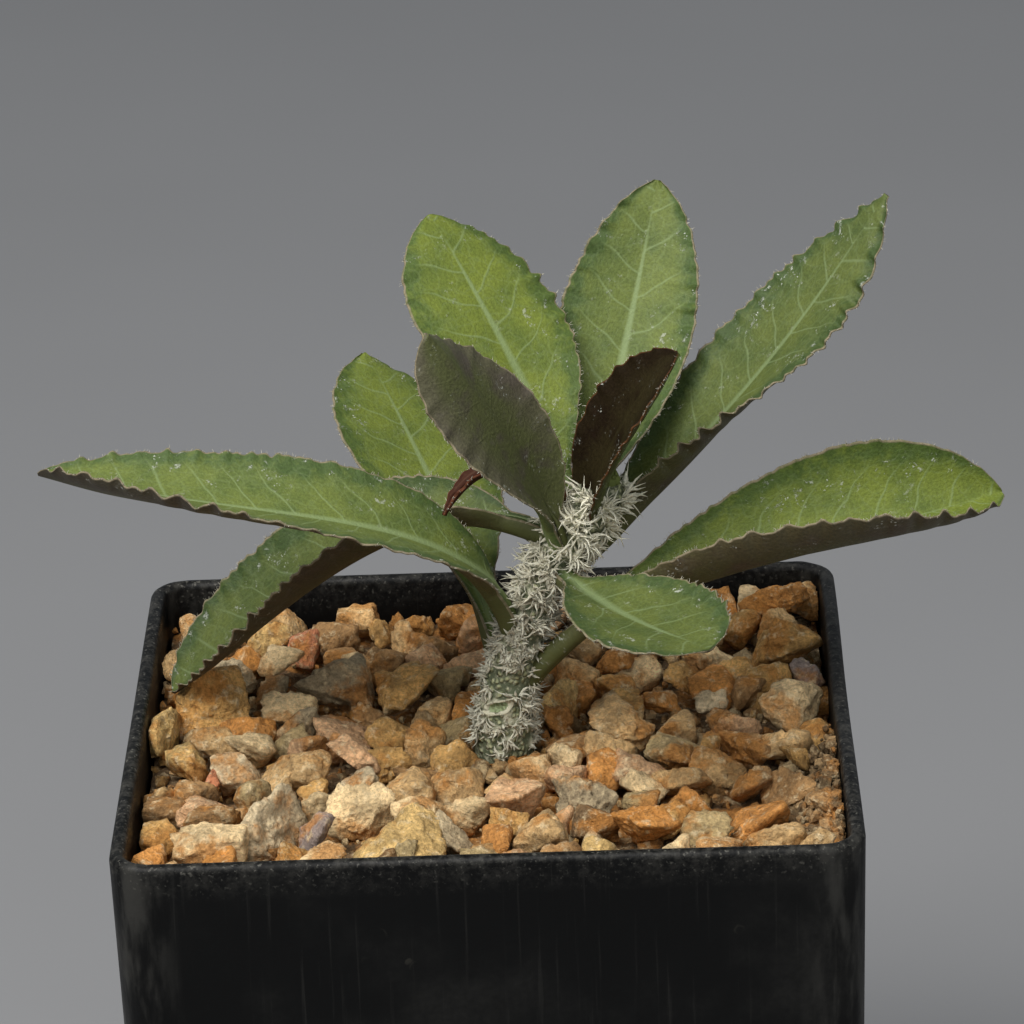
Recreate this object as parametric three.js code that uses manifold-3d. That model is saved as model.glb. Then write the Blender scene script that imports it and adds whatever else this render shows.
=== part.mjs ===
// Potted euphorbia: a young spurge with a bristly leaning stem, in a square nursery pot.
// Millimetres, +Z up, origin at the middle of the pot's underside, front of the plant towards -Y.

import * as THREE from 'three';
import { ConvexGeometry } from 'three/addons/geometries/ConvexGeometry.js';
import { mergeVertices } from 'three/addons/utils/BufferGeometryUtils.js';
import Module from 'manifold-3d';

const wasm = await Module();
wasm.setup();

// Driving dimensions. Angles are in degrees.

const POT = {
  rimSize: 70, height: 75, sideTaper: 1, wall: 1.5, floor: 1.8, cornerRadius: 4, cornerSteps: 5,
  drainRadius: 3, drainFromMiddle: 23, drainSides: 16,
};

// What stands in something else, or beside it, keeps this much room.
const CLEARANCE = 0.32;

const POTTING_MIX = { top: 63 };

// A stone is as high as flatness times its mean width, and swell makes up for the hull of a few
// points being smaller than the box they are drawn in.
const GRAVEL = {
  bedTop: 71.1, highest: 80, seed: 11, hullPoints: 9, swell: 0.57, flatness: 0.8, raise: 0.2,
  blockiness: 0.6, turn: 26, tilt: 14,
};
const FILLER = { count: 80, tries: 6000, largest: 2.1, smallest: 1.1, spacing: 0.8, thin: 0.9, thick: 1.2 };

// The stones stand back from the bristly foot of the stem: its room is this much wider than the
// stem at these heights above the gravel bed.
const FOOT_ROOM = [[-9.1, 0.32], [0.4, 0.32], [2.4, 2.2], [9, 2.6]];

// The larger stones, each [x, y, across, deep].
const STONES = [
  [-26, 7, 8.5, 7], [-32, 2, 3.2, 7], [-24, 2, 5, 3.5], [-19.5, 4, 5, 4.5], [-16, 12, 8, 6],
  [-13, 3, 7, 5.5], [-8, 10, 6.5, 6], [-5.2, 5, 3.5, 4], [-6.7, -2, 4.5, 4.5], [-2.8, -7, 4.6, 4.4],
  [-13, -4.5, 5.5, 4.5], [-10, -7, 4, 4], [-23.5, -2.5, 5, 4], [-24.5, -7.5, 4, 5], [-27.4, -8.5, 1.8, 5],
  [-29.5, -4.5, 4, 4], [-31.2, -10.5, 4, 4.5], [-31, -16.5, 3.8, 3.6], [-27.3, -16.5, 4.5, 5],
  [-21, -20, 8, 8], [-26, -25.5, 6.5, 5], [-31.3, -27, 3.5, 4], [-31.2, -21.5, 3.2, 3.6],
  [-15.5, -23.5, 4, 5], [-15, -29, 5, 4], [-8.5, -24.5, 8.5, 7], [-2.5, -22, 5, 4.5], [1.5, -17, 7, 4.5],
  [-3, -12.7, 5, 4.5], [-7.8, -13, 4.5, 4.5], [-12.5, -11, 4, 4], [-12, -17, 6, 5.5],
  [-16.8, -16.6, 3.8, 3.6], [-17, -12, 2.8, 3.4], [4, -9.4, 5, 3.6], [1.2, -12.8, 3, 3], [1, -25.5, 2.8, 5.5],
  [6, -24.5, 6, 6.5], [10, -28.6, 4, 4], [11, -21.4, 5, 4.6], [9.2, -16, 6, 4.8], [14.8, -25, 5.6, 6],
  [17.6, -29.4, 3.6, 4], [24.5, -21, 7, 7], [21.6, -28.4, 3.8, 4.4], [28.4, -15.6, 4.5, 4.6],
  [11, -10, 3.8, 4.4], [14.6, -13, 4, 4], [17.8, -7, 4.8, 5.4], [21.5, -4.6, 2.8, 5], [25, -5.5, 5, 5.6],
  [28.9, -9.4, 3, 4.6], [12.7, 0.2, 6.4, 6], [17.9, 0, 4, 4.4], [29.4, 2.5, 5.8, 5.6], [23, 2.4, 3.4, 3.4],
  [7.6, 5, 5.2, 6], [21.6, 6.8, 2.8, 3], [25.6, 7.6, 3.6, 3.6], [7.6, -3.6, 4, 4], [28.8, 27.6, 6.6, 5.6],
  [28.8, 18, 7.6, 6], [21, 17.5, 5.6, 5], [-30.8, 28.4, 3, 3.4], [-23, 24.4, 4.4, 4.4],
  [-18.9, 23, 3.4, 4.6], [-21.4, 17.8, 5, 4.4], [-32, 19, 2.8, 4.4], [-27, 14.4, 5.4, 5],
  [-21.9, 12.4, 3, 3.4], [-10.8, 17.6, 4.4, 4.4], [-14.6, 20.6, 4, 4], [-5.4, 22.6, 4.6, 4.6],
  [-2.2, 16.4, 4.6, 4.4], [-12.2, 26, 3.6, 3.4], [-8, 27.6, 3.2, 3.2], [-3.4, 28.4, 4.2, 3.8],
  [8.4, 12.4, 4.4, 4.4], [12.4, 9.4, 3.8, 3.6], [14.6, 14.4, 4.2, 4.2], [19.4, 11.6, 4, 3.8],
  [24.2, 12.4, 4.2, 4], [31.4, 11.4, 3.6, 4.4], [16.8, 5.4, 3.4, 3.6], [2.4, 23.6, 5, 4.6],
  [9, 19.6, 4.8, 4.6], [15.2, 22.4, 5, 4.6], [21.4, 25.4, 4.6, 4.4], [3.2, 11, 4.2, 4.4],
  [31.4, -20.4, 3.6, 4.4], [30.8, -27.4, 4.2, 4.6], [31.6, -3.4, 3.2, 4.4], [26.4, -30, 4, 3.2],
];

const STEM = {
  y: -3, baseX: 1.3, leanFrom: 73, leanRate: 0.031, leanPower: 1.8,
  rootBottom: 34, rootTipRadius: 1.4, sides: 10, seatDepth: 0.3, socketReach: 11,
  profile: [[60, 2.8], [72, 2.8], [77, 2.5], [82, 2.1], [87, 2.0], [91, 2.2], [95, 2.7], [98, 2.2]],
  top: 99.2, topRadius: 0.9,
};
const BUD = { z: 99.4, radius: 0.9, height: 3.2, segments: 7 };

// The fringed stipules that cover the stem, as three-sided spikes. One band at the front is bare.
const BRISTLE = {
  seed: 5, count: 120, from: 73.2, to: 98.4, spiral: 137.5, scatter: 20,
  shortest: 1.1, longest: 1.9, radius: 0.42, sunk: 0.7, lean: 1.5, upward: 0.15,
  bareFrom: 78.3, bareTo: 80.6, bareFacing: -95, bareSpread: 50,
};

const BLADE = {
  halfColumns: 2, stalkShare: 0.09, stalkHalfWidth: 1, tipHalfWidth: 0.35, halfThickness: 0.36,
  keel: 0.5, keelFade: 0.7, foldNear: 0.4, foldGrowth: 1.2, waveHeight: 0.42, tooth: 0.22,
  waveRise: [0.12, 0.3], waveFall: [0.9, 1], routeSteps: 240, roomStations: 5,
};

// Each leaf: seat is its height on the stem. Heading and lift are its direction and its rise at the
// base and at the tip, and bend says how early the lift changes. Twist rolls the blade at the base
// and at the tip. Fold is how far each half is folded up at the base, midway and at the tip. Broad
// says how fast the blade widens from its stalk and closes at the tip. Waves are counted along a margin.
const LEAVES = {
  leaf_long_left: {
    seat: 85, heading: [216, 158], lift: [74, 8], bend: 3.6, length: 52, width: 15,
    twist: [-29, 12], fold: [26, 11, 35], broad: [0.6, 0.6], waves: 18,
  },
  leaf_arched_left: {
    seat: 93.5, heading: [160, 170], lift: [24, -41], bend: 3.4, length: 46, width: 15,
    twist: [-1, -24], fold: [51, 30, 28], broad: [0.7, 0.6], waves: 18,
  },
  leaf_back_left: {
    seat: 79.5, heading: [114, 115], lift: [52, 28], bend: 2.4, length: 39, width: 16,
    twist: [0, 18], fold: [56, -1, -2], broad: [1.4, 0.8], waves: 14,
  },
  leaf_front: {
    seat: 93.5, heading: [237, 210], lift: [62, 56], bend: 1.5, length: 30, width: 12,
    twist: [-79, -52], fold: [57, 22, -42], broad: [0.7, 0.6], waves: 12,
  },
  leaf_back_middle: {
    seat: 96.5, heading: [140, 128], lift: [68, 44], bend: 1.7, length: 31.5, width: 15.5,
    twist: [-17, 1], fold: [43, -6, -3], broad: [1, 0.7], waves: 13,
  },
  leaf_back_right: {
    seat: 95, heading: [71, 62], lift: [44, 67], bend: 0.8, length: 34, width: 14,
    twist: [0, 24], fold: [33, 18, 13], broad: [0.7, 0.7], waves: 14,
  },
  leaf_young_right: {
    seat: 93.5, heading: [337, 337], lift: [82, 50], bend: 1.2, length: 22.5, width: 11,
    twist: [41, 35], fold: [35, 23, 17], broad: [0.6, 0.7], waves: 10,
  },
  leaf_upper_right: {
    seat: 90.5, heading: [22, 6], lift: [32, 59], bend: 1.1, length: 47, width: 15,
    twist: [-21, 28], fold: [57, 21, -7], broad: [0.9, 0.9], waves: 18,
  },
  leaf_far_right: {
    seat: 79.5, heading: [-10, 23], lift: [54, 8], bend: 3.6, length: 50.5, width: 18,
    twist: [-18, 33], fold: [60, 56, 45], broad: [1.4, 0.7], waves: 18,
  },
  leaf_low_front: {
    seat: 90.5, heading: [294, 312], lift: [-2, 5], bend: 0.9, length: 25, width: 14.5,
    twist: [6, 3], fold: [34, 14, 9], broad: [1.1, 0.6], waves: 11,
  },
  leaf_young_curl: {
    seat: 95.5, heading: [193, 207], lift: [99, -65], bend: 1.1, length: 17.5, width: 4,
    twist: [0, 0], fold: [35, 20, 15], broad: [0.8, 1.6], waves: 8,
  },
};

const MATERIALS = {
  pot: new THREE.MeshStandardMaterial({ color: 0x17191a, roughness: 0.55, metalness: 0 }),
  pottingMix: new THREE.MeshStandardMaterial({ color: 0x3b2c20, roughness: 1, metalness: 0 }),
  gravel: new THREE.MeshStandardMaterial({ color: 0xb58a55, roughness: 0.9, metalness: 0 }),
  stem: new THREE.MeshStandardMaterial({ color: 0x9fa58d, roughness: 0.9, metalness: 0 }),
  leaf: new THREE.MeshStandardMaterial({ color: 0x5c7a3a, roughness: 0.6, metalness: 0 }),
  youngLeaf: new THREE.MeshStandardMaterial({ color: 0x4a2f28, roughness: 0.6, metalness: 0 }),
};

// Helpers

const radians = THREE.MathUtils.degToRad;
const { lerp, smoothstep, clamp } = THREE.MathUtils;

// A linear congruential generator whose numbers are small enough to be exact in any language.
function seededRandom(seed) {
  const factor = 16807;
  const modulus = 2147483647;
  let state = seed;
  return () => {
    state = (state * factor) % modulus;
    return state / modulus;
  };
}

// Straight lines through [position, value] rows, level beyond both ends.
function tableValue(rows, position) {
  if (position <= rows[0][0]) return rows[0][1];
  for (let i = 1; i < rows.length; i += 1) {
    const [p0, v0] = rows[i - 1];
    const [p1, v1] = rows[i];
    if (position <= p1) return lerp(v0, v1, (position - p0) / (p1 - p0));
  }
  return rows.at(-1)[1];
}

function solid(geometry) {
  const bare = geometry.clone();
  for (const name of ['normal', 'uv']) bare.deleteAttribute(name);
  const welded = mergeVertices(bare, 1e-4);
  return new wasm.Manifold(new wasm.Mesh({
    numProp: 3,
    vertProperties: new Float32Array(welded.attributes.position.array),
    triVerts: new Uint32Array(welded.index.array),
  }));
}

function indexedGeometry(points, index) {
  const geometry = new THREE.BufferGeometry().setFromPoints(points);
  geometry.setIndex(index);
  return geometry;
}

function surfaceOf(body) {
  const mesh = body.getMesh();
  const geometry = new THREE.BufferGeometry();
  geometry.setAttribute('position', new THREE.Float32BufferAttribute(mesh.vertProperties, 3));
  geometry.setIndex(Array.from(mesh.triVerts));
  return geometry;
}

// A cut can leave loose scraps, and only the largest body is kept.
function largestBody(body) {
  return body.decompose().reduce((best, piece) => (piece.volume() > best.volume() ? piece : best));
}

// Rings with equal point counts, from bottom to top, joined into one closed skin with flat ends.
function loftSolid(rings) {
  const count = rings[0].length;
  const index = [];
  for (let ring = 0; ring + 1 < rings.length; ring += 1) {
    for (let i = 0; i < count; i += 1) {
      const a = ring * count + i;
      const b = ring * count + ((i + 1) % count);
      index.push(a, b, b + count, a, b + count, a + count);
    }
  }
  const last = (rings.length - 1) * count;
  for (let i = 1; i + 1 < count; i += 1) {
    index.push(0, i + 1, i, last, last + i, last + i + 1);
  }
  return solid(indexedGeometry(rings.flat(), index));
}

function roundRing(x, y, z, radius, sides) {
  return Array.from({ length: sides }, (_, i) => {
    const angle = (2 * Math.PI * i) / sides;
    return new THREE.Vector3(x + radius * Math.cos(angle), y + radius * Math.sin(angle), z);
  });
}

// Pot and potting mix. Pot, mix and gravel share one tapered square section with round corners,
// set in from the pot's outside by so much.

function potHalf(z) {
  return POT.rimSize / 2 - (POT.height - z) * Math.tan(radians(POT.sideTaper));
}

function squareRing(z, inset) {
  const radius = POT.cornerRadius - inset;
  const reach = potHalf(z) - inset - radius;
  const ring = [];
  for (let corner = 0; corner < 4; corner += 1) {
    const turn = (corner * Math.PI) / 2;
    const centre = new THREE.Vector2(reach, reach).rotateAround(new THREE.Vector2(), turn);
    for (let step = 0; step <= POT.cornerSteps; step += 1) {
      const angle = turn + ((Math.PI / 2) * step) / POT.cornerSteps;
      const x = centre.x + radius * Math.cos(angle);
      const y = centre.y + radius * Math.sin(angle);
      ring.push(new THREE.Vector3(x, y, z));
    }
  }
  return ring;
}

function squareBlock(bottom, top, inset) {
  return loftSolid([squareRing(bottom, inset), squareRing(top, inset)]);
}

function drainHole(x, y) {
  const ends = [-1, POT.floor + 1];
  return loftSolid(ends.map((z) => roundRing(x, y, z, POT.drainRadius, POT.drainSides)));
}

function potBody() {
  const outside = squareBlock(0, POT.height, 0);
  const inside = squareBlock(POT.floor, POT.height + 1, POT.wall);
  const d = POT.drainFromMiddle;
  const drains = [[-d, -d], [d, -d], [d, d], [-d, d]].map(([x, y]) => drainHole(x, y));
  return wasm.Manifold.difference([outside, inside, ...drains]);
}

function pottingMixBody() {
  const block = squareBlock(POT.floor, POTTING_MIX.top, POT.wall + CLEARANCE);
  return block.subtract(loftSolid(stemRings(CLEARANCE)));
}

// Stem: a tapered tube that leans to the right, with its root going straight down into the mix.

function stemX(z) {
  return STEM.baseX + STEM.leanRate * Math.max(0, z - STEM.leanFrom) ** STEM.leanPower;
}

function stemRadius(z) {
  return tableValue(STEM.profile, z);
}

function stemRings(grow) {
  const ends = [
    [STEM.rootBottom - grow, STEM.rootTipRadius],
    [STEM.top + grow, STEM.topRadius],
  ];
  const rows = [ends[0], ...STEM.profile, ends[1]];
  return rows.map(([z, radius]) => roundRing(stemX(z), STEM.y, z, radius + grow, STEM.sides));
}

function spike(foot, direction, length) {
  const geometry = new THREE.ConeGeometry(BRISTLE.radius, length + BRISTLE.sunk, 3, 1);
  geometry.translate(0, (length - BRISTLE.sunk) / 2, 0);
  const up = new THREE.Vector3(0, 1, 0);
  geometry.applyQuaternion(new THREE.Quaternion().setFromUnitVectors(up, direction));
  geometry.translate(foot.x, foot.y, foot.z);
  return solid(geometry);
}

function isBare(z, angle) {
  const away = THREE.MathUtils.euclideanModulo(angle - BRISTLE.bareFacing + 180, 360) - 180;
  return z > BRISTLE.bareFrom && z < BRISTLE.bareTo && Math.abs(away) < BRISTLE.bareSpread;
}

// Bristles climb the stem on a spiral, grow longer towards the top and lean at random.
function bristles() {
  const random = seededRandom(BRISTLE.seed);
  const spikes = [];
  for (let i = 0; i < BRISTLE.count; i += 1) {
    const share = (i + random()) / BRISTLE.count;
    const z = lerp(BRISTLE.from, BRISTLE.to, share);
    const angle = i * BRISTLE.spiral + BRISTLE.scatter * random();
    const length = lerp(BRISTLE.shortest, BRISTLE.longest, (random() * (1 + share)) / 2);
    const tilt = new THREE.Vector3(random() - 0.5, random() - 0.5, random() - 0.5 + BRISTLE.upward);
    if (isBare(z, angle)) continue;
    const out = new THREE.Vector3(Math.cos(radians(angle)), Math.sin(radians(angle)), 0);
    const foot = new THREE.Vector3(stemX(z), STEM.y, z).addScaledVector(out, stemRadius(z));
    spikes.push(spike(foot, out.addScaledVector(tilt, BRISTLE.lean).normalize(), length));
  }
  return spikes;
}

function apexBud() {
  const geometry = new THREE.SphereGeometry(BUD.radius, BUD.segments, BUD.segments);
  geometry.rotateX(Math.PI / 2);
  geometry.scale(1, 1, BUD.height / (2 * BUD.radius));
  geometry.translate(stemX(BUD.z), STEM.y, BUD.z);
  return solid(geometry);
}

// Bristles and bud are rooted in the stem, and the leaf stalks sit in sockets in its skin.
function stemBody() {
  const whole = wasm.Manifold.union([loftSolid(stemRings(0)), apexBud(), ...bristles()]);
  const sockets = Object.values(LEAVES).map((leaf) => (
    leafRoom(leaf, -CLEARANCE / leaf.length, STEM.socketReach / leaf.length)
  ));
  return largestBody(wasm.Manifold.difference([whole, ...sockets]));
}

// Leaves

// The way ahead along the midrib, the way across the blade to its left, and the blade's own up.
function leafFrame(leaf, s) {
  const heading = radians(lerp(...leaf.heading, s));
  const lift = radians(lerp(leaf.lift[1], leaf.lift[0], Math.max(0, 1 - s) ** leaf.bend));
  const roll = radians(lerp(...leaf.twist, s));
  const level = new THREE.Vector3(Math.cos(heading), Math.sin(heading), 0);
  const upright = new THREE.Vector3(0, 0, 1);
  const ahead = level.clone().multiplyScalar(Math.cos(lift)).addScaledVector(upright, Math.sin(lift));
  const rise = level.clone().multiplyScalar(-Math.sin(lift)).addScaledVector(upright, Math.cos(lift));
  const side = new THREE.Vector3().crossVectors(rise, ahead);
  return {
    ahead,
    across: side.clone().multiplyScalar(Math.cos(roll)).addScaledVector(rise, Math.sin(roll)),
    up: rise.clone().multiplyScalar(Math.cos(roll)).addScaledVector(side, -Math.sin(roll)),
  };
}

function leafSeat(leaf) {
  const reach = stemRadius(leaf.seat) - STEM.seatDepth;
  const heading = radians(leaf.heading[0]);
  const x = stemX(leaf.seat) + reach * Math.cos(heading);
  return new THREE.Vector3(x, STEM.y + reach * Math.sin(heading), leaf.seat);
}

// The midrib is followed from the seat in small equal steps.
function midribPoint(leaf, s) {
  const point = leafSeat(leaf);
  const steps = Math.max(1, Math.round(Math.abs(s) * BLADE.routeSteps));
  for (let i = 0; i < steps; i += 1) {
    const here = Math.max(0, (s * (i + 0.5)) / steps);
    point.addScaledVector(leafFrame(leaf, here).ahead, (s * leaf.length) / steps);
  }
  return point;
}

function halfWidth(leaf, s) {
  const t = clamp((s - BLADE.stalkShare) / (1 - BLADE.stalkShare), 0, 1);
  const [rise, fall] = leaf.broad;
  const widest = rise / (rise + fall);
  const form = (t ** rise * (1 - t) ** fall) / (widest ** rise * (1 - widest) ** fall);
  const stalk = BLADE.stalkHalfWidth * Math.sqrt(1 - t);
  return Math.max(Math.hypot((form * leaf.width) / 2, stalk), BLADE.tipHalfWidth);
}

function foldAngle(leaf, s) {
  const [base, middle, tip] = leaf.fold;
  return radians(base * (1 - s) ** 2 + 2 * middle * s * (1 - s) + tip * s ** 2);
}

// One row of points across the blade on its upper and its under face. Each half rises from the
// midrib and steepens outwards. The margin waves up and down, and its teeth reach out with it.
function bladeRow(leaf, s, grow) {
  const inside = Math.max(0, s);
  const { across, up } = leafFrame(leaf, inside);
  const centre = midribPoint(leaf, s);
  const width = halfWidth(leaf, inside) + grow;
  const fold = foldAngle(leaf, inside);
  const crisp = smoothstep(s, ...BLADE.waveRise) * (1 - smoothstep(s, ...BLADE.waveFall));
  const wave = grow > 0 ? 0 : Math.cos(2 * Math.PI * leaf.waves * s) * crisp;
  const row = { upper: [], under: [] };
  for (let column = -BLADE.halfColumns; column <= BLADE.halfColumns; column += 1) {
    const hand = Math.sign(column);
    const outer = Math.abs(column) / BLADE.halfColumns;
    const point = centre.clone();
    for (let step = 1; step <= Math.abs(column); step += 1) {
      const slope = fold * (BLADE.foldNear + (BLADE.foldGrowth * (step - 0.5)) / BLADE.halfColumns);
      point.addScaledVector(across, (hand * Math.cos(slope) * width) / BLADE.halfColumns);
      point.addScaledVector(up, (Math.sin(slope) * width) / BLADE.halfColumns);
    }
    const slope = Math.abs(hand) * fold * (BLADE.foldNear + BLADE.foldGrowth * outer);
    const normal = up.clone().multiplyScalar(Math.cos(slope))
      .addScaledVector(across, -hand * Math.sin(slope));
    const outward = across.clone().multiplyScalar(hand * Math.cos(slope))
      .addScaledVector(up, Math.sin(slope));
    point.addScaledVector(normal, BLADE.waveHeight * wave * outer ** 3);
    point.addScaledVector(outward, BLADE.tooth * wave * outer ** 3);
    const keel = column === 0 ? BLADE.keel * (1 - BLADE.keelFade * inside) : 0;
    row.upper.push(point.clone().addScaledVector(normal, BLADE.halfThickness + grow));
    row.under.push(point.clone().addScaledVector(normal, -BLADE.halfThickness - keel - grow));
  }
  return row;
}

// Both faces of a blade are split into triangles alike, and closed round the edge.
function bladeGeometry(leaf, from, to, stations, grow) {
  const shares = Array.from({ length: stations + 1 }, (_, i) => lerp(from, to, i / stations));
  const rows = shares.map((s) => bladeRow(leaf, s, grow));
  const width = 2 * BLADE.halfColumns + 1;
  const upper = (i, j) => 2 * width * i + j;
  const under = (i, j) => upper(i, j) + width;
  const index = [];
  const quad = (a, b, c, d) => index.push(a, b, c, a, c, d);
  for (let i = 0; i < stations; i += 1) {
    for (let j = 0; j + 1 < width; j += 1) {
      quad(upper(i, j), upper(i + 1, j), upper(i + 1, j + 1), upper(i, j + 1));
      quad(under(i + 1, j + 1), under(i + 1, j), under(i, j), under(i, j + 1));
    }
    quad(under(i, 0), under(i + 1, 0), upper(i + 1, 0), upper(i, 0));
    quad(upper(i, width - 1), upper(i + 1, width - 1), under(i + 1, width - 1), under(i, width - 1));
  }
  for (let j = 0; j + 1 < width; j += 1) {
    quad(upper(0, j), upper(0, j + 1), under(0, j + 1), under(0, j));
    quad(upper(stations, j + 1), upper(stations, j), under(stations, j), under(stations, j + 1));
  }
  return indexedGeometry(rows.flatMap((row) => [...row.upper, ...row.under]), index);
}

// A row of points falls on every crest and every trough of the margin.
function leafGeometry(leaf) {
  return bladeGeometry(leaf, 0, 1, 2 * leaf.waves, 0);
}

// The room that a leaf needs round it along one stretch of its length.
function leafRoom(leaf, from, to) {
  return solid(bladeGeometry(leaf, from, to, BLADE.roomStations, CLEARANCE));
}

// Gravel: crushed stones pressed into a level bed.

// Each stone is the hull of a few random points on a form between a ball and a box.
function stoneBody(stone, random) {
  const [x, y, across, deep] = stone;
  const height = (GRAVEL.flatness * (across + deep)) / 2;
  const points = Array.from({ length: GRAVEL.hullPoints }, () => {
    const point = new THREE.Vector3(random() - 0.5, random() - 0.5, random() - 0.5);
    point.divideScalar(Math.max(Math.abs(point.x), Math.abs(point.y), Math.abs(point.z)));
    return point.divideScalar(point.length() ** GRAVEL.blockiness);
  });
  const turn = 2 * (random() - 0.5) * GRAVEL.turn;
  const tilt = 2 * (random() - 0.5) * GRAVEL.tilt;
  const geometry = new ConvexGeometry(points);
  geometry.scale(GRAVEL.swell * across, GRAVEL.swell * deep, GRAVEL.swell * height);
  geometry.rotateX(radians(tilt));
  geometry.rotateZ(radians(turn));
  geometry.translate(x, y, GRAVEL.bedTop + GRAVEL.raise * height);
  return solid(geometry);
}

// Fillers are dropped at random, ever smaller, wherever one still fits between the others.
function fillerStones(random) {
  const placed = STONES.map(([x, y, across, deep]) => [x, y, (across + deep) / 4]);
  placed.push([STEM.baseX, STEM.y, (STEM.profile[0][1] + FILLER.spacing) / FILLER.spacing]);
  const fillers = [];
  for (let i = 0; i < FILLER.tries && fillers.length < FILLER.count; i += 1) {
    const radius = lerp(FILLER.largest, FILLER.smallest, i / FILLER.tries);
    const reach = potHalf(GRAVEL.bedTop) - POT.wall - radius;
    const x = reach * (2 * random() - 1);
    const y = reach * (2 * random() - 1);
    const clear = ([px, py, other]) => Math.hypot(x - px, y - py) > FILLER.spacing * (other + radius);
    if (!placed.every(clear)) continue;
    placed.push([x, y, radius]);
    const across = 2 * radius * lerp(FILLER.thin, FILLER.thick, random());
    const deep = 2 * radius * lerp(FILLER.thin, FILLER.thick, random());
    fillers.push([x, y, across, deep]);
  }
  return fillers;
}

function footRoom() {
  return loftSolid(FOOT_ROOM.map(([above, wider]) => (
    roundRing(STEM.baseX, STEM.y, GRAVEL.bedTop + above, STEM.profile[0][1] + wider, STEM.sides)
  )));
}

function gravelBody() {
  const random = seededRandom(GRAVEL.seed);
  const stones = [...STONES, ...fillerStones(random)].map((stone) => stoneBody(stone, random));
  const bed = squareBlock(POTTING_MIX.top, GRAVEL.bedTop, POT.wall + CLEARANCE);
  const room = squareBlock(POTTING_MIX.top, GRAVEL.highest, POT.wall + CLEARANCE);
  const heap = wasm.Manifold.union([bed, ...stones]).intersect(room);
  const hangingTip = leafRoom(LEAVES.leaf_arched_left, 0.7, 1.01);
  return largestBody(wasm.Manifold.difference([heap, footRoom(), hangingTip]));
}

// Assembly

const plant = new THREE.Group();

function addPiece(name, geometry, material) {
  const piece = new THREE.Mesh(geometry, material);
  piece.name = name;
  plant.add(piece);
}

addPiece('pot', surfaceOf(potBody()), MATERIALS.pot);
addPiece('potting_mix', surfaceOf(pottingMixBody()), MATERIALS.pottingMix);
addPiece('gravel_topping', surfaceOf(gravelBody()), MATERIALS.gravel);
addPiece('stem', surfaceOf(stemBody()), MATERIALS.stem);
for (const [name, leaf] of Object.entries(LEAVES)) {
  const young = name.startsWith('leaf_young');
  addPiece(name, leafGeometry(leaf), young ? MATERIALS.youngLeaf : MATERIALS.leaf);
}

export default plant;
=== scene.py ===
"""Looks for the potted euphorbia: a young spurge with a bristly leaning stem in a gravel-topped pot.

Every piece is worked out in millimetres from the same sizes and seeds as the CAD solids, and put into
its mesh in metres. Each sub-assembly is a class, and each finish is a frozen dataclass.
"""

import logging
from dataclasses import dataclass, field
from enum import Enum

import bmesh
import bpy
import numpy as np
from mathutils import Matrix
from mathutils.geometry import delaunay_2d_cdt

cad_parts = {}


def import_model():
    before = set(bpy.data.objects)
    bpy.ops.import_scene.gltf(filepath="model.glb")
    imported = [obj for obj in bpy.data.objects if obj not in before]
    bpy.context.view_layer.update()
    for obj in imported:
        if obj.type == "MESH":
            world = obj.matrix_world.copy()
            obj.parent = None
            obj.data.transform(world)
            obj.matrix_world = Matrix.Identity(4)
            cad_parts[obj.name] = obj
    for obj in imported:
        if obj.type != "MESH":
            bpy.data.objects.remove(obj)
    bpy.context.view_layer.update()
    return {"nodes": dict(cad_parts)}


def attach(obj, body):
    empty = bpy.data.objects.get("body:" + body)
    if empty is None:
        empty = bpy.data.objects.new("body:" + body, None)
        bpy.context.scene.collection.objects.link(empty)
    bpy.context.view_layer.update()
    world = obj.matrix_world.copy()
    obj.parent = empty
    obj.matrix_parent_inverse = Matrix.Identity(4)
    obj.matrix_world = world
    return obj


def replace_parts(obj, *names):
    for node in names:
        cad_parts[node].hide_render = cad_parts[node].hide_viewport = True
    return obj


METRES = 0.001
HAIR_RINGS = 5
HAIR_SIDES = 3
HAIR_SEED = 19
log = logging.getLogger("euphorbia")

Array = np.ndarray
Colour = tuple[float, float, float]
Socket = bpy.types.NodeSocket
Finish = bpy.types.Material
Piece = bpy.types.Object


# Numbers and noise


HASH_X = 374761393
HASH_Y = 668265263
HASH_Z = 1440662683
HASH_SEED = 974634777
HASH_MIX = 1274126177
HASH_MASK = 0xFFFFFFFF
LAYER_SHIFT = 17.3
LAYER_SUM = 1.6


class Seeded:
    """The number generator of the CAD source: state times 16807, modulo 2147483647."""

    FACTOR = 16807
    MODULUS = 2147483647

    def __init__(self, seed: int) -> None:
        """Starts the row of numbers at a seed."""
        self.state = seed

    def draw(self) -> float:
        """Returns the next number between 0 and 1."""
        self.state = self.state * self.FACTOR % self.MODULUS
        return self.state / self.MODULUS


def lattice_noise(points: Array, seed: int) -> Array:
    """Smooth noise: hashed values at whole coordinates, blended along each axis by 3t² − 2t³.

    Args:
        points: places, one row each, in units of the noise's own cells.
        seed: which noise.

    Returns:
        One value from −1 to 1 for each place.
    """
    cell = np.floor(points).astype(np.int64)
    part = points - cell
    blend = part * part * (3 - 2 * part)
    total = np.zeros(points.shape[:-1])
    for corner in range(8):
        step = np.array([corner & 1, corner >> 1 & 1, corner >> 2 & 1])
        at = cell + step
        mixed = at[..., 0] * HASH_X + at[..., 1] * HASH_Y + at[..., 2] * HASH_Z + seed * HASH_SEED
        mixed = (mixed ^ (mixed >> 13)) & HASH_MASK
        mixed = (mixed * HASH_MIX) & HASH_MASK
        value = ((mixed ^ (mixed >> 16)) & 0xFFFF) / 32767.5 - 1
        total += value * np.prod(np.where(step == 1, blend, 1 - blend), axis=-1)
    return total


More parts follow.
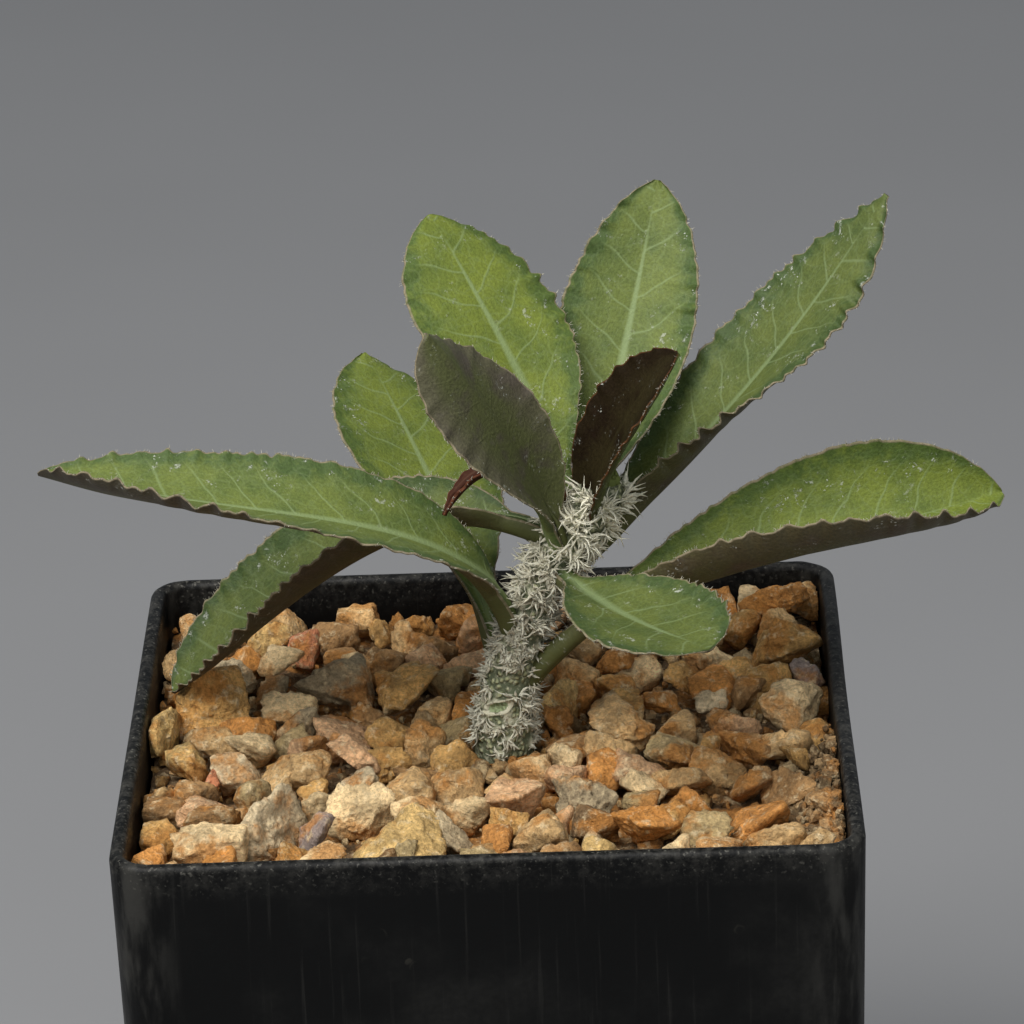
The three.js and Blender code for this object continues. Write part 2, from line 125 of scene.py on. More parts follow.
def layered_noise(points: Array, seed: int, layers: int = 3) -> Array:
    """Sum of noises, each twice as fine and half as strong as the one before.

    Args:
        points: places in cells of the coarsest noise.
        seed: which noise.
        layers: how many noises are added.

    Returns:
        One value for each place, about −1 to 1.
    """
    total = np.zeros(points.shape[:-1])
    for layer in range(layers):
        total += lattice_noise(points * 2.0**layer + LAYER_SHIFT * layer, seed + layer) / 2.0**layer
    return total / LAYER_SUM


def smooth(value: Array, low: float, high: float) -> Array:
    """Returns 0 below low, 1 above high and 3t² − 2t³ between them."""
    t = np.clip((value - low) / (high - low), 0, 1)
    return t * t * (3 - 2 * t)


def unit(vectors: Array) -> Array:
    """Returns the vectors divided by their own lengths."""
    return vectors / np.maximum(np.linalg.norm(vectors, axis=-1, keepdims=True), 1e-9)


def turned_from(facing: float, angle: Array) -> Array:
    """Returns how far an angle is turned from a direction, in degrees from −180 to 180."""
    return (angle - facing + 180) % 360 - 180


def spread_places(x: Array, y: Array, z: Array) -> Array:
    """Returns places whose three coordinates are spread over one common grid."""
    return np.stack(np.broadcast_arrays(x, y, z), -1)


# Meshes


def outward(points: Array, faces: list[Array]) -> list[Array]:
    """Turns a closed skin's faces over if they point inwards, which its signed volume tells.

    Args:
        points: the skin's points.
        faces: arrays of corner numbers, one array for each count of corners.

    Returns:
        The faces, pointing outwards.
    """
    volume = 0.0
    for group in faces:
        a = points[group[:, 0]]
        for i in range(1, group.shape[1] - 1):
            b = points[group[:, i]]
            c = points[group[:, i + 1]]
            volume += float(np.einsum("ij,ij->", a, np.cross(b, c)))
    return faces if volume > 0 else [group[:, ::-1] for group in faces]


def grid_faces(rows: int, columns: int, closed: bool) -> Array:
    """Quads between the rows of a grid of points.

    Args:
        rows: how many rows.
        columns: how many points in each row.
        closed: whether each row is a ring.

    Returns:
        Corner numbers, four to a face.
    """
    i, j = np.meshgrid(np.arange(rows - 1), np.arange(columns - (0 if closed else 1)), indexing="ij")
    following = (j + 1) % columns
    a = i * columns + j
    b = i * columns + following
    return np.stack([a, b, b + columns, a + columns], -1).reshape(-1, 4)


def lofted(rings: Array) -> tuple[Array, list[Array]]:
    """Joins rings of points into one closed skin, with a middle point closing each end.

    Args:
        rings: an array of ring, point and coordinate.

    Returns:
        The points, and the faces as quads and triangles.
    """
    rows, count, _ = rings.shape
    points = np.concatenate([rings.reshape(-1, 3), rings[0].mean(0)[None], rings[-1].mean(0)[None]])
    i = np.arange(count)
    following = (i + 1) % count
    first = np.stack([following, i, np.full(count, rows * count)], -1)
    last = (rows - 1) * count
    final = np.stack([last + i, last + following, np.full(count, rows * count + 1)], -1)
    faces = [grid_faces(rows, count, True), np.concatenate([first, final])]
    return points, outward(points, faces)


@dataclass
class Surface:
    """A skin under way: its points in millimetres, its faces and the values that its points carry."""

    points: Array
    faces: list[Array]
    values: dict[str, Array] = field(default_factory=dict)

    @staticmethod
    def joined(parts: list["Surface"]) -> "Surface":
        """Puts several skins into one, each with its own corner numbers.

        Args:
            parts: the skins, which carry the same values.

        Returns:
            One skin.
        """
        starts = np.cumsum([0] + [len(p.points) for p in parts[:-1]])
        sizes = sorted({group.shape[1] for p in parts for group in p.faces})
        faces = [
            np.concatenate([g + s for p, s in zip(parts, starts) for g in p.faces if g.shape[1] == size])
            for size in sizes
        ]
        values = {name: np.concatenate([p.values[name] for p in parts]) for name in parts[0].values}
        return Surface(np.concatenate([p.points for p in parts]), faces, values)

    def build(self, name: str, finish: Finish, slot: str, flat: bool = False) -> Piece:
        """Makes the mesh object, in metres, and lets it ride on the one body.

        Args:
            name: the piece's name.
            finish: its material.
            slot: the record's material slot, which is not used.
            flat: whether its faces are shaded flat.

        Returns:
            The object.
        """
        mesh = bpy.data.meshes.new(name)
        mesh.vertices.add(len(self.points))
        mesh.vertices.foreach_set("co", (self.points * METRES).astype(np.float32).ravel())
        counts = np.concatenate([np.full(len(g), g.shape[1]) for g in self.faces])
        corners = np.concatenate([g.ravel() for g in self.faces]).astype(np.int32)
        mesh.loops.add(len(corners))
        mesh.loops.foreach_set("vertex_index", corners)
        mesh.polygons.add(len(counts))
        mesh.polygons.foreach_set("loop_start", (np.cumsum(counts) - counts).astype(np.int32))
        mesh.polygons.foreach_set("use_smooth", np.full(len(counts), not flat))
        mesh.update(calc_edges=True)
        for key, value in self.values.items():
            attribute = mesh.attributes.new(key, "FLOAT_VECTOR", "POINT")
            attribute.data.foreach_set("vector", value.astype(np.float32).ravel())
        mesh.materials.append(finish)
        piece = bpy.data.objects.new(name, mesh)
        bpy.context.scene.collection.objects.link(piece)
        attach(piece, "root")
        log.info("%s: %d points, %d faces", name, len(self.points), len(counts))
        return piece


# Materials


class Recipe:
    """A material's node tree under construction, with one short method for each kind of node."""

    def __init__(self, name: str, roughness: float, specular: float = 0.5) -> None:
        """Starts a material with a Principled shader.

        Args:
            name: the material's name.
            roughness: the shader's roughness, until something is linked to it.
            specular: the shader's specular level.
        """
        self.material = bpy.data.materials.new(name)
        self.material.use_nodes = True
        self.tree = self.material.node_tree
        self.tree.nodes.clear()
        self.shader = self.node("ShaderNodeBsdfPrincipled")
        self.shader.inputs["Roughness"].default_value = roughness
        self.shader.inputs["Specular IOR Level"].default_value = specular
        output = self.node("ShaderNodeOutputMaterial")
        self.tree.links.new(self.shader.outputs["BSDF"], output.inputs["Surface"])

    def node(self, kind: str) -> bpy.types.Node:
        """Returns a new node of that kind."""
        return self.tree.nodes.new(kind)

    def put(self, socket: Socket, value: object) -> None:
        """Links a socket, or sets a number or colour on it.

        Args:
            socket: the input.
            value: another node's output, a number, a vector or a colour.
        """
        if isinstance(value, Socket):
            self.tree.links.new(value, socket)
        elif socket.type == "RGBA":
            socket.default_value = (*value, 1.0)
        else:
            socket.default_value = value

    def place(self) -> Socket:
        """Returns the Object coordinates, in metres."""
        return self.node("ShaderNodeTexCoord").outputs["Object"]

    def carried(self, name: str) -> Socket:
        """Reads a value that the points carry.

        Args:
            name: the attribute.

        Returns:
            The value, as a vector.
        """
        attribute = self.node("ShaderNodeAttribute")
        attribute.attribute_name = name
        return attribute.outputs["Vector"]

    def split(self, vector: Socket) -> tuple:
        """Takes a vector apart.

        Args:
            vector: the vector.

        Returns:
            Its three numbers.
        """
        separate = self.node("ShaderNodeSeparateXYZ")
        self.put(separate.inputs[0], vector)
        return tuple(separate.outputs)

    def joined(self, x: object, y: object, z: object) -> Socket:
        """Makes a vector of three numbers.

        Args:
            x: the first number.
            y: the second number.
            z: the third number.

        Returns:
            The vector.
        """
        combine = self.node("ShaderNodeCombineXYZ")
        for socket, value in zip(combine.inputs, (x, y, z)):
            self.put(socket, value)
        return combine.outputs[0]

    def math(self, kind: str, *values: object, clamp: bool = False) -> Socket:
        """Returns the outcome of a sum on numbers.

        Args:
            kind: the Math node's operation.
            values: its inputs.
            clamp: whether the outcome is kept from 0 to 1.

        Returns:
            The node's output.
        """
        node = self.node("ShaderNodeMath")
        node.operation = kind
        node.use_clamp = clamp
        for socket, value in zip(node.inputs, values):
            self.put(socket, value)
        return node.outputs[0]

    def vector(self, kind: str, *values: object) -> Socket:
        """Returns the outcome of a sum on vectors.

        Args:
            kind: the Vector Math node's operation.
            values: its inputs.

        Returns:
            The node's output.
        """
        node = self.node("ShaderNodeVectorMath")
        node.operation = kind
        for socket, value in zip(node.inputs, values):
            self.put(socket, value)
        return node.outputs[0]

    def scaled(self, where: Socket, x: float, y: float, z: float) -> Socket:
        """Returns coordinates stretched along each axis."""
        return self.vector("MULTIPLY", where, (x, y, z))

    def span(
        self, value: object, low: object, high: object, start: float = 0.0, end: float = 1.0,
    ) -> Socket:
        """Returns start below low, end above high and a smooth change between them.

        Args:
            value: the number that is looked at.
            low: where the change starts.
            high: where it ends.
            start: the outcome at low, and before it.
            end: the outcome at high, and after it.

        Returns:
            The node's output.
        """
        node = self.node("ShaderNodeMapRange")
        node.interpolation_type = "SMOOTHSTEP"
        for socket, entry in zip(node.inputs, (value, low, high, start, end)):
            self.put(socket, entry)
        return node.outputs[0]

    def noise(self, where: object, scale: float, detail: float = 4.0, roughness: float = 0.55) -> Socket:
        """Returns noise from 0 to 1.

        Args:
            where: coordinates.
            scale: how fine it is.
            detail: how many finer layers it has.
            roughness: how strong they are.

        Returns:
            The node's output.
        """
        node = self.node("ShaderNodeTexNoise")
        self.put(node.inputs["Vector"], where)
        node.inputs["Scale"].default_value = scale
        node.inputs["Detail"].default_value = detail
        node.inputs["Roughness"].default_value = roughness
        return node.outputs["Fac"]

    def shift(self, where: Socket, scale: float, amount: float) -> Socket:
        """Returns coordinates pushed about by noise, so that a pattern on them isn't straight.

        Args:
            where: coordinates.
            scale: how fine the noise is.
            amount: how far they are pushed.

        Returns:
            The new coordinates.
        """
        node = self.node("ShaderNodeTexNoise")
        self.put(node.inputs["Vector"], where)
        node.inputs["Scale"].default_value = scale
        centred = self.vector("SUBTRACT", node.outputs["Color"], (0.5, 0.5, 0.5))
        return self.vector("ADD", where, self.vector("MULTIPLY", centred, (amount, amount, amount)))

    def cells(self, where: object, scale: float, feature: str = "F1") -> Socket:
        """Returns a Voronoi pattern's distance.

        Args:
            where: coordinates.
            scale: how fine it is.
            feature: which distance is measured.

        Returns:
            The node's output.
        """
        node = self.node("ShaderNodeTexVoronoi")
        node.feature = feature
        self.put(node.inputs["Vector"], where)
        node.inputs["Scale"].default_value = scale
        return node.outputs["Distance"]

    def mix(self, share: object, first: object, second: object) -> Socket:
        """Returns a mix of two colours.

        Args:
            share: how much of the second one.
            first: a colour or an output.
            second: a colour or an output.

        Returns:
            The node's output.
        """
        node = self.node("ShaderNodeMix")
        node.data_type = "RGBA"
        node.blend_type = "MIX"
        self.put(node.inputs[0], share)
        self.put(node.inputs[6], first)
        self.put(node.inputs[7], second)
        return node.outputs[2]

    def times(self, colour: object, brightness: Socket) -> Socket:
        """Returns a colour made brighter or darker by a number.

        Args:
            colour: the colour.
            brightness: the number that it is multiplied by.

        Returns:
            The new colour.
        """
        node = self.node("ShaderNodeVectorMath")
        node.operation = "SCALE"
        self.put(node.inputs[0], colour)
        self.put(node.inputs["Scale"], brightness)
        return node.outputs[0]

    def finish(self, colour: object, heights: list[tuple], roughness: object = None) -> Finish:
        """Sets the colour and stacks bumps, each height with its depth in metres.

        Args:
            colour: the base colour.
            heights: pairs of an output from 0 to 1 and the depth in metres that it stands for.
            roughness: an output for the roughness, or None.

        Returns:
            The material.
        """
        self.put(self.shader.inputs["Base Color"], colour)
        if roughness is not None:
            self.put(self.shader.inputs["Roughness"], roughness)
        normal = None
        for height, depth in heights:
            bump = self.node("ShaderNodeBump")
            bump.inputs["Strength"].default_value = 1.0
            bump.inputs["Distance"].default_value = depth
            self.put(bump.inputs["Height"], height)
            if normal is not None:
                self.put(bump.inputs["Normal"], normal)
            normal = bump.outputs[0]
        if normal is not None:
            self.put(self.shader.inputs["Normal"], normal)
        return self.material


@dataclass(frozen=True)
class PotPlastic:
    """Matt black moulded plastic with dust, a rubbed and chipped rim, scratches and dried drops."""

    body: Colour = (0.0015, 0.0016, 0.0016)
    pale_grey: Colour = (0.06, 0.058, 0.052)
    rubbed: Colour = (0.042, 0.040, 0.035)
    ring: Colour = (0.075, 0.07, 0.055)
    chipped: Colour = (0.14, 0.135, 0.115)
    scratch_depth: float = 0.00003
    grain_depth: float = 0.00005

    def material(self) -> Finish:
        """Makes the material.

        Returns:
            The material: rubbed at the rim, pale at the corners, dust in patches, rings of drops.
        """
        r = Recipe("pot_plastic", 0.5, 0.16)
        where = r.place()
        wear, edge, _ = r.split(r.carried("wear"))
        upright = r.noise(r.scaled(where, 1600, 1600, 45), 1.0, 5)
        streaks = r.span(upright, 0.58, 0.78)
        clouds = r.noise(where, 70, 5)
        dusty = r.math("MULTIPLY", r.span(clouds, 0.5, 0.75), r.noise(where, 1500, 4))
        rub = r.math("MULTIPLY", wear, r.span(r.noise(where, 900, 8, 0.75), 0.42, 0.66))
        patches = r.noise(r.scaled(where, 1, 1, 0.25), 500, 5)
        corner = r.math("MULTIPLY", edge, r.span(patches, 0.42, 0.66))
        drops = r.cells(r.shift(where, 500, 0.0012), 380)
        from_ring = r.math("ABSOLUTE", r.math("SUBTRACT", drops, 0.22))
        rim = r.math("SUBTRACT", 1.0, r.span(from_ring, 0.015, 0.05))
        chosen = r.span(r.noise(where, 95, 2), 0.6, 0.66)
        rings = r.math("MULTIPLY", r.math("MULTIPLY", rim, chosen), 0.22)
        colour = r.mix(r.math("MULTIPLY", streaks, 0.16), self.body, self.pale_grey)
        colour = r.mix(r.math("MULTIPLY", dusty, 0.2), colour, self.pale_grey)
        colour = r.mix(rings, colour, self.ring)
        # paler at the outer corners, in the same pale grey as the dust
        colour = r.mix(r.math("MULTIPLY", corner, 0.45), colour, self.pale_grey)
        colour = r.mix(r.math("MULTIPLY", rub, 0.85), colour, self.rubbed)
        chips = r.math("MULTIPLY", wear, r.span(r.noise(where, 2400, 4, 0.6), 0.58, 0.68))
        colour = r.mix(r.math("MULTIPLY", chips, 0.6), colour, self.chipped)
        gloss = r.span(clouds, 0.3, 0.7, 0.42, 0.6)
        heights = [(upright, self.scratch_depth), (r.noise(where, 900, 5), self.grain_depth)]
        return r.finish(colour, heights, gloss)


@dataclass(frozen=True)
class PottingMix:
    """Dark crumbly peat and bark under the gravel."""

    dark: Colour = (0.02, 0.012, 0.007)
    light: Colour = (0.09, 0.055, 0.03)
    crumb_depth: float = 0.0008

    def material(self) -> Finish:
        """Makes the material.

        Returns:
            The material: dark crumbs with lighter fibres.
        """
        r = Recipe("potting_mix", 0.95, 0.2)
        where = r.place()
        crumbs = r.noise(where, 450, 8, 0.7)
        colour = r.mix(r.span(crumbs, 0.4, 0.65), self.dark, self.light)
        return r.finish(colour, [(crumbs, self.crumb_depth)])


@dataclass(frozen=True)
class CrushedStone:
    """Broken stone in its own tone, with rust stains, pale veins, dark specks and a fine grain."""

    name: str
    stain: Colour = (0.48, 0.205, 0.045)
    pale: Colour = (0.76, 0.60, 0.36)
    dirt: Colour = (0.06, 0.036, 0.018)
    dirtiness: float = 0.35
    mottle_depth: float = 0.00065
    grain_depth: float = 0.00032

    def material(self) -> Finish:
        """Makes the material from the tone that each stone's points carry.

        Returns:
            The material.
        """
        r = Recipe(self.name, 0.88, 0.28)
        where = r.place()
        tone = r.carried("tone")
        patches = r.noise(where, 330, 4, 0.6)
        stains = r.noise(r.vector("ADD", where, (0.3, 0.1, 0.2)), 190, 5, 0.62)
        grain = r.noise(where, 2600, 6, 0.68)
        mottle = r.noise(where, 900, 5, 0.65)
        speck = r.cells(where, 2300)
        colour = r.times(tone, r.span(patches, 0.3, 0.7, 0.66, 1.42))
        colour = r.mix(r.span(stains, 0.48, 0.61, 0.0, 0.78), colour, self.stain)
        colour = r.mix(r.span(mottle, 0.52, 0.68, 0.0, 0.62), colour, self.pale)
        colour = r.mix(r.span(mottle, 0.42, 0.28, 0.0, self.dirtiness), colour, self.dirt)
        colour = r.times(colour, r.span(grain, 0.3, 0.7, 0.70, 1.36))
        colour = r.mix(r.span(speck, 0.16, 0.06, 0.0, 0.5), colour, self.dirt)
        return r.finish(colour, [(mottle, self.mottle_depth), (grain, self.grain_depth)])


@dataclass(frozen=True)
class StemBark:
    """Grey-green pebbly bark with painted shade in the grooves between its pebbles, pale on its knobs
    and on the lip of the leaf scar.
    """

    # partly painted shade: the grooves between the pebbles are the bark's own darker colour, darkened
    # further to stand for the shade among the tufts
    painted_groove_shade: Colour = (0.10, 0.115, 0.065)
    skin: Colour = (0.40, 0.41, 0.23)
    knob: Colour = (0.60, 0.57, 0.42)
    scar: Colour = (0.30, 0.36, 0.19)
    bud: Colour = (0.14, 0.17, 0.045)
    pebble_depth: float = 0.00025
    grain_depth: float = 0.00012

    def material(self) -> Finish:
        """Makes the material from the shares of knob, scar and bud that the points carry.

        The scar's share is 1 inside it and half on its pale lip.

        Returns:
            The material.
        """
        r = Recipe("stem_bark", 0.8, 0.3)
        where = r.place()
        knob, scar, bud = r.split(r.carried("bark"))
        pebbles = r.cells(r.shift(where, 700, 0.0006), 1500)
        raised = r.span(pebbles, 0.55, 0.15)
        # painted shade in the grooves, the lighter bark on the raised pebbles
        colour = r.mix(raised, self.painted_groove_shade, self.skin)
        paler = r.math("MULTIPLY", r.span(knob, 0.15, 0.8), r.noise(where, 1100, 4))
        colour = r.mix(paler, colour, self.knob)
        colour = r.mix(r.span(r.noise(where, 1900, 5), 0.5, 0.7, 0.0, 0.55), colour, self.knob)
        lip = r.math("MULTIPLY", r.span(scar, 0.15, 0.4), r.span(scar, 0.75, 0.6))
        colour = r.mix(lip, colour, self.knob)
        colour = r.mix(r.span(scar, 0.65, 0.9), colour, self.scar)
        colour = r.mix(bud, colour, self.bud)
        heights = [(raised, self.pebble_depth), (r.noise(where, 2500, 4), self.grain_depth)]
        return r.finish(colour, heights)


@dataclass(frozen=True)
class Bristle:
    """Dry curled stipules, cream with tan ones among them, and painted light near the tip of the stem,
    where the leaves above shade them.
    """

    cream: Colour = (0.62, 0.60, 0.48)
    tan: Colour = (0.45, 0.40, 0.29)
    foot: Colour = (0.32, 0.34, 0.22)
    # painted light: a lighter cream for the bristles near the tip, to make up for the shade of the
    # leaves above them
    top: Colour = (0.88, 0.84, 0.68)
    grain_depth: float = 0.0001

    def material(self) -> Finish:
        """Makes the material from the share along each bristle, its shade and its height, which paints
        light onto the bristles near the tip.

        Returns:
            The material: green at the foot and cream further out, each bristle in its own shade.
        """
        r = Recipe("bristle", 0.75, 0.3)
        where = r.place()
        along, shade, high = r.split(r.carried("bristle"))
        colour = r.mix(r.span(shade, 0.35, 1.0, 0.0, 0.8), self.cream, self.tan)
        # painted light: the higher a bristle, the more of the lighter top cream it takes
        colour = r.mix(r.math("MULTIPLY", high, 0.8), colour, self.top)
        colour = r.mix(r.span(along, 0.4, 0.0, 0.0, 0.85), colour, self.foot)
        grain = r.noise(where, 3000, 3)
        colour = r.times(colour, r.span(grain, 0.3, 0.7, 0.8, 1.15))
        return r.finish(colour, [(grain, self.grain_depth)])


@dataclass(frozen=True)
class LeafSkin:
    """Two-sided leaf skin: veined green above, with painted light through its middle and painted shade
    towards its margin, brown or purple below, with a dry margin and flakes.
    """

    name: str
    slot: str = "leaf_skin"
    # centre and edge: the green is lighter in the middle and darker at the margin, partly painted light
    # shining through the thin blade and painted shade at the margin
    centre: Colour = (0.126, 0.158, 0.034)
    edge: Colour = (0.058, 0.092, 0.024)
    vein: Colour = (0.22, 0.285, 0.125)
    under: Colour = (0.062, 0.047, 0.030)
    under_green: Colour = (0.088, 0.088, 0.032)
    greenness: float = 0.35
    margin: Colour = (0.23, 0.19, 0.12)
    bloom: Colour = (0.12, 0.105, 0.085)
    stalk: Colour = (0.085, 0.095, 0.028)
    speck: Colour = (0.66, 0.68, 0.60)
    spacing: float = 4.1
    vein_slope: float = 0.5
    vein_bow: float = 0.045
    midrib_width: float = 1.05
    midrib_at_tip: float = 0.16
    side_width: float = 0.24
    roughness: float = 0.58
    specular: float = 0.25
    vein_depth: float = 0.00002
    fine_depth: float = 0.00009
    flake_depth: float = 0.00005

    def veins(self, r: Recipe, along: object, across: object, share: object, out: object) -> tuple:
        """Works out the veins of a blade in millimetres on its own surface.

        The midrib is a band that narrows and fades to the tip. A side vein is where
        along − slope·|across| − bow·across² is a whole number of spacings and a half, shifted by half
        a spacing on one side. The net is the edges of cells.

        Args:
            r: the material.
            along: millimetres from the stalk.
            across: millimetres from the midrib, less than 0 on the right.
            share: part of the length.
            out: part of the half width.

        Returns:
            The midrib, the side veins and the net, each from 0 to 1.
        """
        surface = r.joined(along, across, 0.0)
        bent = r.split(r.shift(surface, 0.16, 2.6))
        away = r.math("ABSOLUTE", bent[1])
        width = r.span(share, 0.0, 1.0, self.midrib_width, self.midrib_at_tip)
        midrib = r.span(r.math("ABSOLUTE", across), width, r.math("MULTIPLY", width, 0.2))
        midrib = r.math("MULTIPLY", midrib, r.span(share, 0.99, 0.72))
        bow = r.math("MULTIPLY", r.math("POWER", away, 2.0), self.vein_bow)
        curve = r.math("ADD", r.math("MULTIPLY", away, self.vein_slope), bow)
        hand = r.math("MULTIPLY", r.math("GREATER_THAN", across, 0.0), 0.5)
        turn = r.math("ADD", r.math("DIVIDE", r.math("SUBTRACT", bent[0], curve), self.spacing), hand)
        offset = r.math("ABSOLUTE", r.math("SUBTRACT", r.math("FRACT", turn), 0.5))
        side = r.span(r.math("MULTIPLY", offset, self.spacing), self.side_width, 0.0)
        side = r.math("MULTIPLY", side, r.span(out, 0.92, 0.4))
        net = r.cells(r.shift(surface, 0.7, 1.2), 0.62, "DISTANCE_TO_EDGE")
        net = r.math("MULTIPLY", r.span(net, 0.09, 0.0), r.span(out, 0.97, 0.8))
        return midrib, side, net

    def material(self) -> Finish:
        """Makes the material from the millimetres and shares that the blade's points carry.

        Returns:
            The material.
        """
        r = Recipe(self.name, self.roughness, self.specular)
        along, across, _ = r.split(r.carried("blade_mm"))
        share, out, below = r.split(r.carried("blade"))
        surface = r.joined(along, across, 0.0)
        midrib, side, net = self.veins(r, along, across, share, out)
        clouds = r.noise(surface, 0.2, 4)
        blotches = r.noise(surface, 0.75, 4, 0.6)
        fine = r.noise(surface, 3.2, 4, 0.6)
        # painted shade: darker blotches along the margin stand for the shade between its waves; the
        # clouds and blotches added after it are the leaf's own mottling
        painted_margin_shade = r.math("MULTIPLY", r.span(out, 0.55, 0.95), r.span(blotches, 0.3, 0.6, 0.4, 1.0))
        painted_shade_and_mottle = r.math("ADD", painted_margin_shade, r.span(clouds, 0.4, 0.66, 0.0, 0.5), clamp=True)
        painted_shade_and_mottle = r.math("ADD", painted_shade_and_mottle, r.span(blotches, 0.45, 0.7, 0.0, 0.22), clamp=True)
        # painted light and shade: the lighter centre partly stands for light through the blade, the
        # darker edge for shade along the margin
        colour = r.mix(painted_shade_and_mottle, self.centre, self.edge)
        colour = r.times(colour, r.span(fine, 0.3, 0.7, 0.82, 1.18))
        colour = r.mix(r.math("MULTIPLY", net, 0.14), colour, self.vein)
        colour = r.mix(r.math("MULTIPLY", side, 0.5), colour, self.vein)
        colour = r.mix(r.math("MULTIPLY", midrib, 0.75), colour, self.vein)
        dots = r.span(r.cells(r.shift(surface, 2.0, 0.5), 2.6), 0.34, 0.16)
        chosen = r.span(r.noise(surface, 0.3, 4, 0.75), 0.56, 0.66)
        near = r.span(out, 0.2, 0.9, 0.35, 1.0)
        dots = r.math("MULTIPLY", r.math("MULTIPLY", dots, chosen), near)
        flakes = r.span(r.noise(r.shift(surface, 1.5, 0.8), 1.15, 7, 0.72), 0.56, 0.63)
        places = r.span(r.noise(surface, 0.3, 3, 0.7), 0.52, 0.6)
        flakes = r.math("MULTIPLY", flakes, places)
        flakes = r.math("MULTIPLY", flakes, r.span(out, 0.1, 0.8, 0.15, 0.7))
        flakes = r.math("MULTIPLY", flakes, r.span(below, 0.6, 0.4, 0.15, 1.0))
        dots = r.math("MAXIMUM", dots, flakes)
        middle = r.math("ADD", r.span(out, 0.85, 0.15, 0.35, 1.0), r.span(share, 0.5, 0.1), clamp=True)
        green = r.math("MULTIPLY", r.span(clouds, 0.3, 0.56), self.greenness * 2)
        green = r.math("MULTIPLY", green, middle, clamp=True)
        lower = r.mix(green, self.under, self.under_green)
        lower = r.mix(r.span(blotches, 0.52, 0.75, 0.0, 0.35), lower, self.bloom)
        lower = r.times(lower, r.span(fine, 0.25, 0.75, 0.78, 1.25))
        lower = r.mix(r.math("MULTIPLY", midrib, 0.35), lower, self.under_green)
        stalk = r.span(share, 0.2, 0.07)
        lower = r.mix(r.math("MULTIPLY", stalk, 0.8), lower, self.stalk)
        colour = r.mix(r.span(below, 0.4, 0.6), colour, lower)
        colour = r.mix(r.math("MULTIPLY", dots, 0.7), colour, self.speck)
        uneven = r.span(r.noise(surface, 1.3, 3), 0.3, 0.6, 0.35, 1.0)
        rim = r.math("MULTIPLY", r.span(out, 0.975, 0.995), uneven)
        colour = r.mix(rim, colour, self.margin)
        relief = r.math("MAXIMUM", side, midrib)
        heights = [(relief, self.vein_depth), (fine, self.fine_depth), (dots, self.flake_depth)]
        return r.finish(colour, heights)


@dataclass(frozen=True)
class LeafHair:
    """Fine whitish hair along the leaf margins."""

    colour: Colour = (0.5, 0.47, 0.38)

    def material(self) -> Finish:
        """Makes the material from the shade that each hair carries.

        Returns:
            The material: pale, with each hair a little lighter or darker.
        """
        r = Recipe("leaf_hair", 0.6, 0.3)
        _, shade, _ = r.split(r.carried("bristle"))
        return r.finish(r.times(self.colour, r.span(shade, 0.0, 1.0, 0.55, 1.1)), [])


# The pot and what fills it


